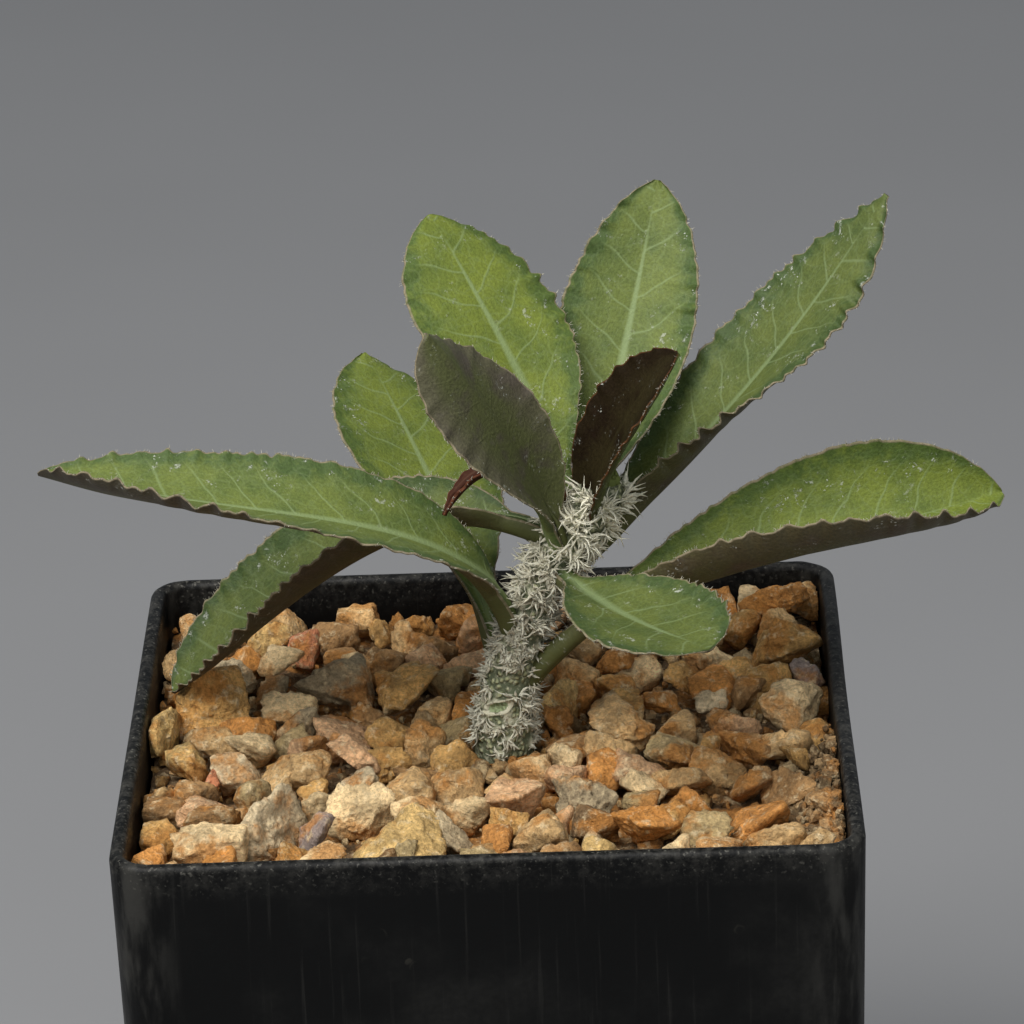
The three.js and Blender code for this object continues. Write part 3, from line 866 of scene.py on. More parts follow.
@dataclass
class Pot:
    """Square nursery pot: a tapered shell with round corners, a rounded rim and four drain holes."""

    rim_size: float = 70.0
    height: float = 75.0
    taper: float = 1.0
    wall: float = 1.5
    floor: float = 1.8
    corner_radius: float = 4.0
    corner_steps: int = 12
    side_steps: int = 26
    drain_radius: float = 3.0
    drain_from_middle: float = 23.0
    drain_steps: int = 32
    foot_round: float = 0.9
    floor_round: float = 0.8
    round_rings: int = 5
    wall_rings: int = 24
    rim_rings: int = 9
    inner_rings: int = 21
    least_radius: float = 0.3
    wobble: float = 0.18
    wobble_length: float = 26.0
    wobble_height: float = 40.0
    rubbed_from_top: tuple[float, float] = (1.3, 0.2)
    pale_corner_band: tuple[float, float] = (-3.0, 2.0)
    pale_corner_above: float = 5.0

    def half(self, z: Array) -> Array:
        """Returns half the outer width at a height: half the rim less the taper's share below it."""
        return self.rim_size / 2 - (self.height - z) * np.tan(np.radians(self.taper))

    def ring_parameters(self) -> tuple[Array, Array, Array]:
        """Carries a point round the square: each corner's quarter turn, then the straight after it.

        Returns:
            The corner centre's sign along x and y, which slides on the straights, and the angle.
        """
        centres = np.array([[1, 1], [-1, 1], [-1, -1], [1, -1]], float)
        places = []
        angles = []
        for corner in range(4):
            turn = np.linspace(0, np.pi / 2, self.corner_steps + 1) + corner * np.pi / 2
            share = np.linspace(0, 1, self.side_steps + 1)[1:-1, None]
            following = centres[(corner + 1) % 4]
            places += [np.repeat(centres[corner][None], len(turn), 0)]
            places += [centres[corner] * (1 - share) + following * share]
            angles += [turn, np.full(len(share), turn[-1])]
        places = np.concatenate(places)
        return places[:, 0], places[:, 1], np.concatenate(angles)

    def rings(self, z: Array, inset: Array) -> Array:
        """Places the ring at several heights: corner centre times its reach, plus the radius.

        Slow noise bows the walls a little, more towards the rim.

        Args:
            z: the heights.
            inset: how far each ring stands in from the outside.

        Returns:
            An array of ring, point and coordinate.
        """
        sign_x, sign_y, angle = self.ring_parameters()
        radius = np.maximum(self.corner_radius - inset, self.least_radius)[:, None]
        reach = self.half(z)[:, None] - inset[:, None] - radius
        x = sign_x * reach + radius * np.cos(angle)
        y = sign_y * reach + radius * np.sin(angle)
        out = np.stack([np.cos(angle), np.sin(angle)], -1)
        rows = np.stack([x, y, np.repeat(z[:, None], x.shape[1], 1)], -1)
        turned = np.broadcast_to(np.cos(angle) * 3, x.shape) + x / self.wobble_length
        slow = np.stack([turned, y / self.wobble_length, rows[..., 2] / self.wobble_height], -1)
        bow = self.wobble * lattice_noise(slow, 4) * (z[:, None] / self.height)
        rows[..., :2] += out * bow[..., None]
        return rows

    def plate(self, ring: Array, z: float) -> tuple[Array, Array]:
        """Fills a ring with triangles, leaving the four drain holes open.

        Args:
            ring: the outer ring's points.
            z: the plate's height.

        Returns:
            The points, the ring's first, and the triangles.
        """
        turn = np.linspace(0, 2 * np.pi, self.drain_steps, endpoint=False)
        circle = self.drain_radius * np.stack([np.cos(turn), np.sin(turn)], -1)
        middles = self.drain_from_middle * np.array([[-1, -1], [1, -1], [1, 1], [-1, 1]])
        flat = np.concatenate([ring[:, :2], *(middle + circle for middle in middles)])
        loops = []
        start = 0
        for size in [len(ring)] + [len(circle)] * 4:
            loops += [(start + i, start + (i + 1) % size) for i in range(size)]
            start += size
        found = delaunay_2d_cdt([tuple(p) for p in flat], loops, [], 0, 1e-5)
        triangles = np.array([f for f in found[2] if len(f) == 3])
        source = np.array([o[0] for o in found[3]])
        triangles = source[triangles]
        middle = flat[triangles].mean(1)
        apart = np.linalg.norm(middle[:, None] - middles[None], axis=-1)
        in_hole = (apart < self.drain_radius * 0.98).any(1)
        return np.column_stack([flat, np.full(len(flat), z)]), triangles[~in_hole]

    def build(self, finish: Finish) -> Piece:
        """Carries a wall profile round the square and closes it with two plates and the hole walls.

        Args:
            finish: the plastic.

        Returns:
            The pot.
        """
        arc = np.linspace(0, np.pi / 2, self.round_rings)
        over_rim = np.linspace(0, np.pi, self.rim_rings)
        foot = self.foot_round
        lip = self.wall / 2
        top_of_round = self.floor + self.floor_round
        z = np.concatenate([
            foot * (1 - np.cos(arc)),
            np.linspace(foot, self.height - lip, self.wall_rings + 2)[1:-1],
            self.height - lip + lip * np.sin(over_rim),
            np.linspace(self.height - lip, top_of_round, self.inner_rings + 1)[1:],
            self.floor + self.floor_round * (1 - np.sin(arc))[1:],
        ])
        inset = np.concatenate([
            foot * (1 - np.sin(arc)),
            np.zeros(self.wall_rings),
            lip * (1 - np.cos(over_rim)),
            np.full(self.inner_rings, self.wall),
            self.wall + self.floor_round * (1 - np.cos(arc))[1:],
        ])
        rings = self.rings(z, inset)
        count = rings.shape[1]
        below, below_faces = self.plate(rings[0], 0.0)
        above, above_faces = self.plate(rings[-1], self.floor)
        body = rings.reshape(-1, 3)
        hole_below = below[count:]
        hole_above = above[count:]
        points = np.concatenate([body, hole_below, hole_above])
        first_below = len(body)
        first_above = first_below + len(hole_below)
        number = np.where(below_faces < count, below_faces, below_faces - count + first_below)
        last = (len(z) - 1) * count
        in_ring = above_faces < count
        number_above = np.where(in_ring, above_faces + last, above_faces - count + first_above)
        i = np.arange(len(hole_below))
        following = i // self.drain_steps * self.drain_steps + (i + 1) % self.drain_steps
        around = [first_below + i, first_above + i, first_above + following, first_below + following]
        hole_wall = np.stack(around, -1)
        quads = np.concatenate([grid_faces(len(z), count, True), hole_wall])
        triangles = [self.facing(points, number, -1), self.facing(points, number_above, 1)]
        triangles = np.concatenate(triangles)
        skin = Surface(points, [quads, triangles], {"wear": self.wear(points)})
        return skin.build("pot_shell", finish, "pot_plastic")

    def wear(self, points: Array) -> Array:
        """Works out where the pot is worn, 1 at the top of the rim, and where it is paler, 1 at the
        outer corners.

        Args:
            points: the shell's points.

        Returns:
            For each point the share of rubbing, the share of paling at the corners, and 0.
        """
        wear = np.zeros((len(points), 3))
        low, high = self.rubbed_from_top
        wear[:, 0] = smooth(points[:, 2], self.height - low, self.height - high)
        nearer = np.minimum(np.abs(points[:, 0]), np.abs(points[:, 1]))
        corner = nearer - (self.rim_size / 2 - self.corner_radius)
        wear[:, 1] = smooth(corner, *self.pale_corner_band) * (points[:, 2] > self.pale_corner_above)
        return wear

    @staticmethod
    def facing(points: Array, triangles: Array, way: int) -> Array:
        """Turns flat triangles to face up or down.

        Args:
            points: all points.
            triangles: corner numbers.
            way: 1 for up, −1 for down.

        Returns:
            The triangles.
        """
        a, b, c = (points[triangles[:, i]] for i in range(3))
        up = np.cross(b - a, c - a)[:, 2] * way > 0
        return np.where(up[:, None], triangles, triangles[:, ::-1])


class Tone(Enum):
    """The tones of the crushed stone, as linear colours."""

    OCHRE = (0.539, 0.31, 0.103)
    CREAM = (0.707, 0.516, 0.274)
    YELLOW = (0.688, 0.456, 0.175)
    ORANGE = (0.521, 0.232, 0.0608)
    TAN = (0.539, 0.344, 0.152)
    PINK = (0.558, 0.335, 0.175)
    BROWN = (0.335, 0.189, 0.076)
    GREY = (0.409, 0.318, 0.19)
    SHELL = (0.577, 0.456, 0.281)
    VIOLET = (0.353, 0.275, 0.236)
    RED = (0.539, 0.206, 0.0988)
    DARK = (0.177, 0.107, 0.0494)
    OLIVE = (0.353, 0.258, 0.122)


class Spot(Enum):
    """Where small lumps are strewn."""

    BED = "over the whole bed"
    WALL = "along the right wall"
    STEM = "round the foot of the stem"


STONE_ROWS = """
-26 7 8.5 7 ochre; -32 2 3.2 7 yellow; -24 2 5 3.5 orange; -19.5 4 5 4.5 grey; -16 12 8 6 grey;
-13 3 7 5.5 pink; -8 10 6.5 6 ochre; -5.2 5 3.5 4 tan; -6.7 -2 4.5 4.5 tan; -2.8 -7 4.6 4.4 ochre;
-13 -4.5 5.5 4.5 pink; -10 -7 4 4 ochre; -23.5 -2.5 5 4 cream; -24.5 -7.5 4 5 shell;
-27.4 -8.5 1.8 5 red; -29.5 -4.5 4 4 yellow; -31.2 -10.5 4 4.5 tan; -31 -16.5 3.8 3.6 brown;
-27.3 -16.5 4.5 5 pink; -21 -20 8 8 shell; -26 -25.5 6.5 5 cream; -31.3 -27 3.5 4 orange;
-31.2 -21.5 3.2 3.6 ochre; -15.5 -23.5 4 5 violet; -15 -29 5 4 cream; -8.5 -24.5 8.5 7 yellow;
-2.5 -22 5 4.5 grey; 1.5 -17 7 4.5 pink; -3 -12.7 5 4.5 tan; -7.8 -13 4.5 4.5 tan;
-12.5 -11 4 4 shell; -12 -17 6 5.5 cream; -16.8 -16.6 3.8 3.6 cream; -17 -12 2.8 3.4 ochre;
4 -9.4 5 3.6 cream; 1.2 -12.8 3 3 tan; 1 -25.5 2.8 5.5 orange; 6 -24.5 6 6.5 tan;
10 -28.6 4 4 yellow; 11 -21.4 5 4.6 dark; 9.2 -16 6 4.8 grey; 14.8 -25 5.6 6 orange;
17.6 -29.4 3.6 4 cream; 24.5 -21 7 7 orange; 21.6 -28.4 3.8 4.4 cream; 28.4 -15.6 4.5 4.6 brown;
11 -10 3.8 4.4 orange; 14.6 -13 4 4 cream; 17.8 -7 4.8 5.4 olive; 21.5 -4.6 2.8 5 ochre;
25 -5.5 5 5.6 brown; 28.9 -9.4 3 4.6 ochre; 12.7 0.2 6.4 6 tan; 17.9 0 4 4.4 tan;
29.4 2.5 5.8 5.6 cream; 23 2.4 3.4 3.4 brown; 7.6 5 5.2 6 yellow; 21.6 6.8 2.8 3 shell;
25.6 7.6 3.6 3.6 brown; 7.6 -3.6 4 4 brown; 28.8 27.6 6.6 5.6 orange; 28.8 18 7.6 6 ochre;
21 17.5 5.6 5 cream; -30.8 28.4 3 3.4 cream; -23 24.4 4.4 4.4 yellow; -18.9 23 3.4 4.6 red;
-21.4 17.8 5 4.4 cream; -32 19 2.8 4.4 tan; -27 14.4 5.4 5 shell; -21.9 12.4 3 3.4 grey;
-10.8 17.6 4.4 4.4 brown; -14.6 20.6 4 4 brown; -5.4 22.6 4.6 4.6 brown; -2.2 16.4 4.6 4.4 pink;
-12.2 26 3.6 3.4 ochre; -8 27.6 3.2 3.2 ochre; -3.4 28.4 4.2 3.8 orange; 8.4 12.4 4.4 4.4 tan;
12.4 9.4 3.8 3.6 ochre; 14.6 14.4 4.2 4.2 cream; 19.4 11.6 4 3.8 ochre; 24.2 12.4 4.2 4 ochre;
31.4 11.4 3.6 4.4 violet; 16.8 5.4 3.4 3.6 orange; 2.4 23.6 5 4.6 tan; 9 19.6 4.8 4.6 tan;
15.2 22.4 5 4.6 tan; 21.4 25.4 4.6 4.4 tan; 3.2 11 4.2 4.4 brown; 31.4 -20.4 3.6 4.4 brown;
30.8 -27.4 4.2 4.6 tan; 31.6 -3.4 3.2 4.4 ochre; 26.4 -30 4 3.2 tan
"""


def ball(level: int) -> tuple[Array, Array]:
    """Spreads directions evenly over a ball.

    Args:
        level: how often the twenty triangles are split, from 1 for not at all.

    Returns:
        The directions and the triangles.
    """
    shape = bmesh.new()
    bmesh.ops.create_icosphere(shape, subdivisions=level, radius=1.0)
    points = np.array([v.co for v in shape.verts])
    triangles = np.array([[v.index for v in f.verts] for f in shape.faces])
    shape.free()
    return unit(points), triangles


@dataclass
class Gravel:
    """Crushed stones in a level bed, by the CAD solid's seeded rule, with finer grit between them."""

    pot: Pot
    bed_top: float = 71.1
    mix_top: float = 63.0
    width_at: float = 70.0
    clearance: float = 0.32
    bed_columns: int = 106
    bed_below: float = 1.5
    bed_relief: float = 0.7
    bed_crumb: float = 1.1
    bed_tone: Colour = (0.16, 0.10, 0.05)
    crumb_tone: Colour = (0.30, 0.195, 0.095)
    crumbs_from: float = 71.0
    crumbs_reach: float = 4.5
    crumbs_along: tuple[float, float, float] = (-33.0, -22.0, 0.0)
    seed: int = 11
    hull_points: int = 9
    swell: float = 0.57
    flatness: float = 0.8
    raised: float = 0.2
    blockiness: float = 0.6
    turn: float = 26.0
    tilt: float = 14.0
    filler_count: int = 80
    filler_tries: int = 6000
    largest: float = 2.1
    smallest: float = 1.1
    spacing: float = 0.8
    thin: float = 0.9
    thick: float = 1.2
    grown: float = 1.1
    roughness: float = 0.07
    chip_count: int = 20
    chip_depth: tuple[float, float] = (0.84, 1.03)
    sharpness: int = 90
    fine_size: float = 0.55
    wall_room: float = 0.12
    push: float = 2.5
    chip_seed: int = 7
    large_from: float = 5.0
    large_level: int = 5
    small_level: int = 4
    small_power: float = 1.6
    # partly painted shade: the lumps in the gaps between the stones take 0.4 to 0.85 of a stone tone, at
    # random, so that the gaps look dark
    lump_tone_and_gap_shade: tuple[float, float] = (0.4, 0.85)
    lump_stretch: tuple[float, float] = (0.65, 1.2)
    lump_jitter: float = 0.34
    foot_ring: tuple[float, float] = (0.6, 2.2)
    foot: tuple[float, float, float] = (1.3, -3.0, 2.8)
    foot_room: tuple = ((-9.1, 0.32), (0.4, 0.32), (2.4, 2.2), (9.0, 2.6))

    def inner_half(self) -> float:
        """Returns half the pot's inner width at the level of the bed."""
        return float(self.pot.half(np.array(self.width_at))) - self.pot.wall

    def large_rows(self) -> list[tuple]:
        """Returns the larger stones, each with its place, width, depth and tone."""
        rows = [entry.split() for entry in STONE_ROWS.replace("\n", " ").split(";")]
        return [(*(float(n) for n in row[:4]), Tone[row[4].upper()]) for row in rows]

    def filler_rows(self, random: Seeded, large: list[tuple]) -> list[tuple]:
        """Drops ever smaller stones at random wherever one still fits between the others.

        Args:
            random: the seeded numbers.
            large: the stones that lie there already.

        Returns:
            The filler stones.
        """
        x0, y0, stem = self.foot
        placed = [(row[0], row[1], (row[2] + row[3]) / 4) for row in large]
        placed.append((x0, y0, (stem + self.spacing) / self.spacing))
        tones = [Tone.OCHRE, Tone.TAN, Tone.CREAM, Tone.ORANGE]
        tones += [Tone.BROWN, Tone.TAN, Tone.PINK, Tone.OLIVE]
        fillers = []
        for i in range(self.filler_tries):
            if len(fillers) == self.filler_count:
                break
            radius = self.largest + (self.smallest - self.largest) * i / self.filler_tries
            reach = float(self.pot.half(np.array(self.bed_top))) - self.pot.wall - radius
            x = reach * (2 * random.draw() - 1)
            y = reach * (2 * random.draw() - 1)
            if any(np.hypot(x - px, y - py) <= self.spacing * (r + radius) for px, py, r in placed):
                continue
            placed.append((x, y, radius))
            across = 2 * radius * (self.thin + (self.thick - self.thin) * random.draw())
            deep = 2 * radius * (self.thin + (self.thick - self.thin) * random.draw())
            fillers.append((x, y, across, deep, tones[len(fillers) * 5 % len(tones)]))
        return fillers

    def stone(self, row: tuple, random: Seeded, rng: np.random.Generator, level: int) -> Surface:
        """Makes one stone from the hull of the same nine seeded points as in the CAD solid.

        Args:
            row: place, width, depth and tone.
            random: the seeded numbers of the CAD rule.
            rng: numbers for what is finer than the CAD solid.
            level: how fine the ball of directions is.

        Returns:
            The stone's skin.
        """
        x, y, across, deep, tone = row
        height = self.flatness * (across + deep) / 2
        points = np.array([[random.draw() - 0.5 for _ in range(3)] for _ in range(self.hull_points)])
        points /= np.abs(points).max(1, keepdims=True)
        points /= np.linalg.norm(points, axis=1, keepdims=True) ** self.blockiness
        turn = np.radians(2 * (random.draw() - 0.5) * self.turn)
        tilt = np.radians(2 * (random.draw() - 0.5) * self.tilt)
        points *= self.swell * np.array([across, deep, height])
        lean = np.array([[1, 0, 0], [0, np.cos(tilt), -np.sin(tilt)], [0, np.sin(tilt), np.cos(tilt)]])
        spin = np.array([[np.cos(turn), -np.sin(turn), 0], [np.sin(turn), np.cos(turn), 0], [0, 0, 1]])
        points = points @ (spin @ lean).T
        place = np.array([x, y, self.bed_top + self.raised * height])
        skin = self.broken(points * self.grown, rng, level, self.roughness * (across + deep) / 2)
        skin.points += place
        self.keep_in(skin.points)
        own_tone = np.repeat(np.array(tone.value)[None], len(skin.points), 0)
        skin.values["tone"] = own_tone * rng.uniform(0.85, 1.15)
        return skin

    def broken(self, corners: Array, rng: np.random.Generator, level: int, rough: float) -> Surface:
        """Makes a broken lump from the hull of some corners.

        In each direction the skin lies at the softly smallest distance to the planes of the hull and
        of a few chips that break its corners. Noise then roughens it.

        Args:
            corners: the hull's points.
            rng: numbers for the chips and the noise.
            level: how fine the ball of directions is.
            rough: how deep the noise is.

        Returns:
            The lump's skin, round its own middle.
        """
        shape = bmesh.new()
        for corner in corners:
            shape.verts.new(corner)
        bmesh.ops.convex_hull(shape, input=shape.verts)
        bmesh.ops.recalc_face_normals(shape, faces=shape.faces)
        middle = corners.mean(0)
        normals = unit(np.array([f.normal for f in shape.faces]))
        heights = np.array([f.normal.normalized().dot(f.verts[0].co) for f in shape.faces])
        heights = heights - normals @ middle
        shape.free()
        normals = np.where(heights[:, None] < 0, -normals, normals)
        heights = np.abs(heights)
        chips = unit(rng.normal(size=(self.chip_count, 3)))
        reach = ((corners - middle) @ chips.T).max(0)
        normals = np.concatenate([normals, chips])
        heights = np.concatenate([heights, reach * rng.uniform(*self.chip_depth, len(chips))])
        directions, triangles = ball(level)
        towards = np.maximum(directions @ normals.T, 0) / np.maximum(heights, 0.05)
        distance = (towards**self.sharpness).sum(1) ** (-1 / self.sharpness)
        points = directions * distance[:, None]
        offset = rng.uniform(-50, 50, 3)
        size = float(np.median(distance))
        bumps = 1 - 2.4 * np.abs(layered_noise(points / size * 1.3 + offset, 3, 4))
        fine = layered_noise(points / self.fine_size + offset, 9, 2) * 0.35
        points = points + directions * (rough * (bumps + fine))[:, None] + middle
        return Surface(points, outward(points, [triangles]), {})

    def keep_in(self, points: Array) -> None:
        """Keeps points inside the pot wall and out of the room round the foot of the stem.

        Args:
            points: the points, which are changed in place.
        """
        inner = self.pot.half(points[:, 2]) - self.pot.wall - self.wall_room
        points[:, 0] = np.clip(points[:, 0], -inner, inner)
        points[:, 1] = np.clip(points[:, 1], -inner, inner)
        x, y, radius = self.foot
        above = points[:, 2] - self.bed_top
        room = radius + np.interp(above, *zip(*self.foot_room))
        away = points[:, :2] - (x, y)
        distance = np.maximum(np.linalg.norm(away, axis=1), 1e-6)
        grown = np.maximum(distance, np.minimum(room, distance + self.push))
        points[:, :2] = (x, y) + away * (grown / distance)[:, None]

    def bed(self) -> Surface:
        """Makes the bed: a level square with a crumbly top, its edges carried down to the mix.

        The top lies at the bed's top less its depth below the stones, plus its relief times noise.

        Returns:
            The bed's closed skin.
        """
        count = self.bed_columns
        share = np.linspace(-1, 1, count)
        u, v = np.meshgrid(share, share, indexing="ij")
        half = self.inner_half() - self.clearance
        squared = np.stack([u * half, v * half, np.zeros_like(u)], -1)
        crumbs = layered_noise(squared / self.bed_crumb, 21, 3)
        top = squared.copy()
        top[..., 2] = self.bed_top - self.bed_below + self.bed_relief * crumbs
        bottom = squared.copy()
        bottom[..., 2] = self.mix_top
        points = np.concatenate([top.reshape(-1, 3), bottom.reshape(-1, 3)])
        upper = grid_faces(count, count, False)
        lower = upper[:, ::-1] + count * count
        i = np.arange(count - 1)
        along_row = (i, i + 1, count * (count - 1))
        along_column = (i * count, (i + 1) * count, count - 1)
        sides = []
        for a, b, far in (along_row, along_column):
            wall = np.stack([a, b, b + count**2, a + count**2], -1)
            sides += [wall, wall + far]
        sides[1] = sides[1][:, ::-1]
        sides[2] = sides[2][:, ::-1]
        tone = np.repeat(np.array([self.bed_tone]), len(points), 0)
        faces = outward(points, [np.concatenate([upper, lower, *sides])])
        return Surface(points, faces, {"tone": tone})

    def scattered(
        self, count: int, size: tuple, z: tuple, level: int, seed: int, spot: Spot = Spot.BED,
    ) -> Surface:
        """Strews small lumps between the stones: stretched, uneven balls turned at random.

        Args:
            count: how many.
            size: the least and the greatest width. Small ones are the more common.
            z: the lowest and the highest middle.
            level: how fine each one is.
            seed: for the places and shapes.
            spot: where they lie.

        Returns:
            All lumps as one skin.
        """
        rng = np.random.default_rng(seed)
        half = self.inner_half()
        directions, triangles = ball(level)
        width = size[0] + (size[1] - size[0]) * rng.random(count) ** self.small_power
        place = rng.uniform(-1, 1, (count, 3)) * (half - 0.5, half - 0.5, 0)
        place[:, 2] = rng.uniform(*z, count)
        kinds = (Tone.OCHRE, Tone.TAN, Tone.CREAM, Tone.BROWN, Tone.ORANGE)
        tones = np.array([kind.value for kind in kinds])
        chosen = rng.integers(0, len(tones), count)
        # partly painted shade: each lump is a darker copy of a stone tone, for the shade in the gaps
        tone = tones[chosen] * rng.uniform(*self.lump_tone_and_gap_shade, (count, 1))
        if spot is Spot.WALL:
            place[:, 0] = half - 0.4 - self.crumbs_reach * rng.random(count) ** 1.8
            place[:, 1] = rng.triangular(*self.crumbs_along, count)
            lift = 1 - np.clip((half - place[:, 0]) / self.crumbs_reach, 0, 1)
            place[:, 2] = self.crumbs_from + (z[1] - self.crumbs_from) * lift * rng.random(count)
            # partly painted shade: the crumbs are made darker or lighter at random, down to 0.3, so that
            # the dark ones stand for the shade in the gaps between them
            tone = np.array(self.crumb_tone) * rng.uniform(0.3, 1.35, (count, 1))
        if spot is Spot.STEM:
            turn = rng.uniform(0, 2 * np.pi, count)
            away = self.foot[2] + rng.uniform(*self.foot_ring, count)
            place[:, 0] = self.foot[0] + away * np.cos(turn)
            place[:, 1] = self.foot[1] + away * np.sin(turn)
        stretch = rng.uniform(*self.lump_stretch, (count, 1, 3))
        jitter = 1 + self.lump_jitter * rng.uniform(-1, 1, (count, len(directions), 1))
        spun = unit(rng.normal(size=(count, 3, 3)))
        spun[:, 1] = unit(np.cross(spun[:, 0], spun[:, 1]))
        spun[:, 2] = np.cross(spun[:, 0], spun[:, 1])
        local = directions[None] * jitter * stretch * (width / 2)[:, None, None]
        points = np.einsum("nij,njk->nik", local, spun) + place[:, None]
        flat = points.reshape(-1, 3)
        self.keep_in(flat)
        starts = (np.arange(count) * len(directions))[:, None, None]
        faces = (triangles[None] + starts).reshape(-1, 3)
        return Surface(flat, outward(flat, [faces]), {"tone": np.repeat(tone, len(directions), 0)})

    def build(self, stone: Finish, soil: Finish) -> None:
        """Makes the bed, the stones, the grit, and the crumbs of mix along the right wall.

        Args:
            stone: the finish of the stones.
            soil: the finish of the bed and the crumbs.
        """
        random = Seeded(self.seed)
        rng = np.random.default_rng(self.chip_seed)
        large = self.large_rows()
        fillers = self.filler_rows(random, large)
        skins = []
        for row in large + fillers:
            is_large = (row[2] + row[3]) / 2 >= self.large_from
            level = self.large_level if is_large else self.small_level
            skins.append(self.stone(row, random, rng, level))
        middle = len(large) // 2
        left = Surface.joined(skins[:middle]).build("stones_front", stone, "gravel")
        Surface.joined(skins[middle:len(large)]).build("stones_back", stone, "gravel")
        Surface.joined(skins[len(large):]).build("stones_small", stone, "gravel")
        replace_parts(left, "gravel_topping")
        self.bed().build("gravel_bed", soil, "gravel")
        between = self.scattered(260, (1.4, 3.2), (69.2, 70.6), level=2, seed=31)
        between.build("stones_between", stone, "gravel")
        grit = self.scattered(1500, (0.4, 1.2), (69.4, 70.9), level=1, seed=32)
        grit.build("gravel_grit", stone, "gravel", flat=True)
        crumbs = self.scattered(700, (0.4, 1.5), (71.0, 74.3), level=1, seed=33, spot=Spot.WALL)
        crumbs.build("soil_crumbs", soil, "gravel", flat=True)
        foot = self.scattered(110, (0.7, 2.0), (70.6, 71.6), level=2, seed=34, spot=Spot.STEM)
        foot.build("foot_grit", stone, "gravel")


# The stem


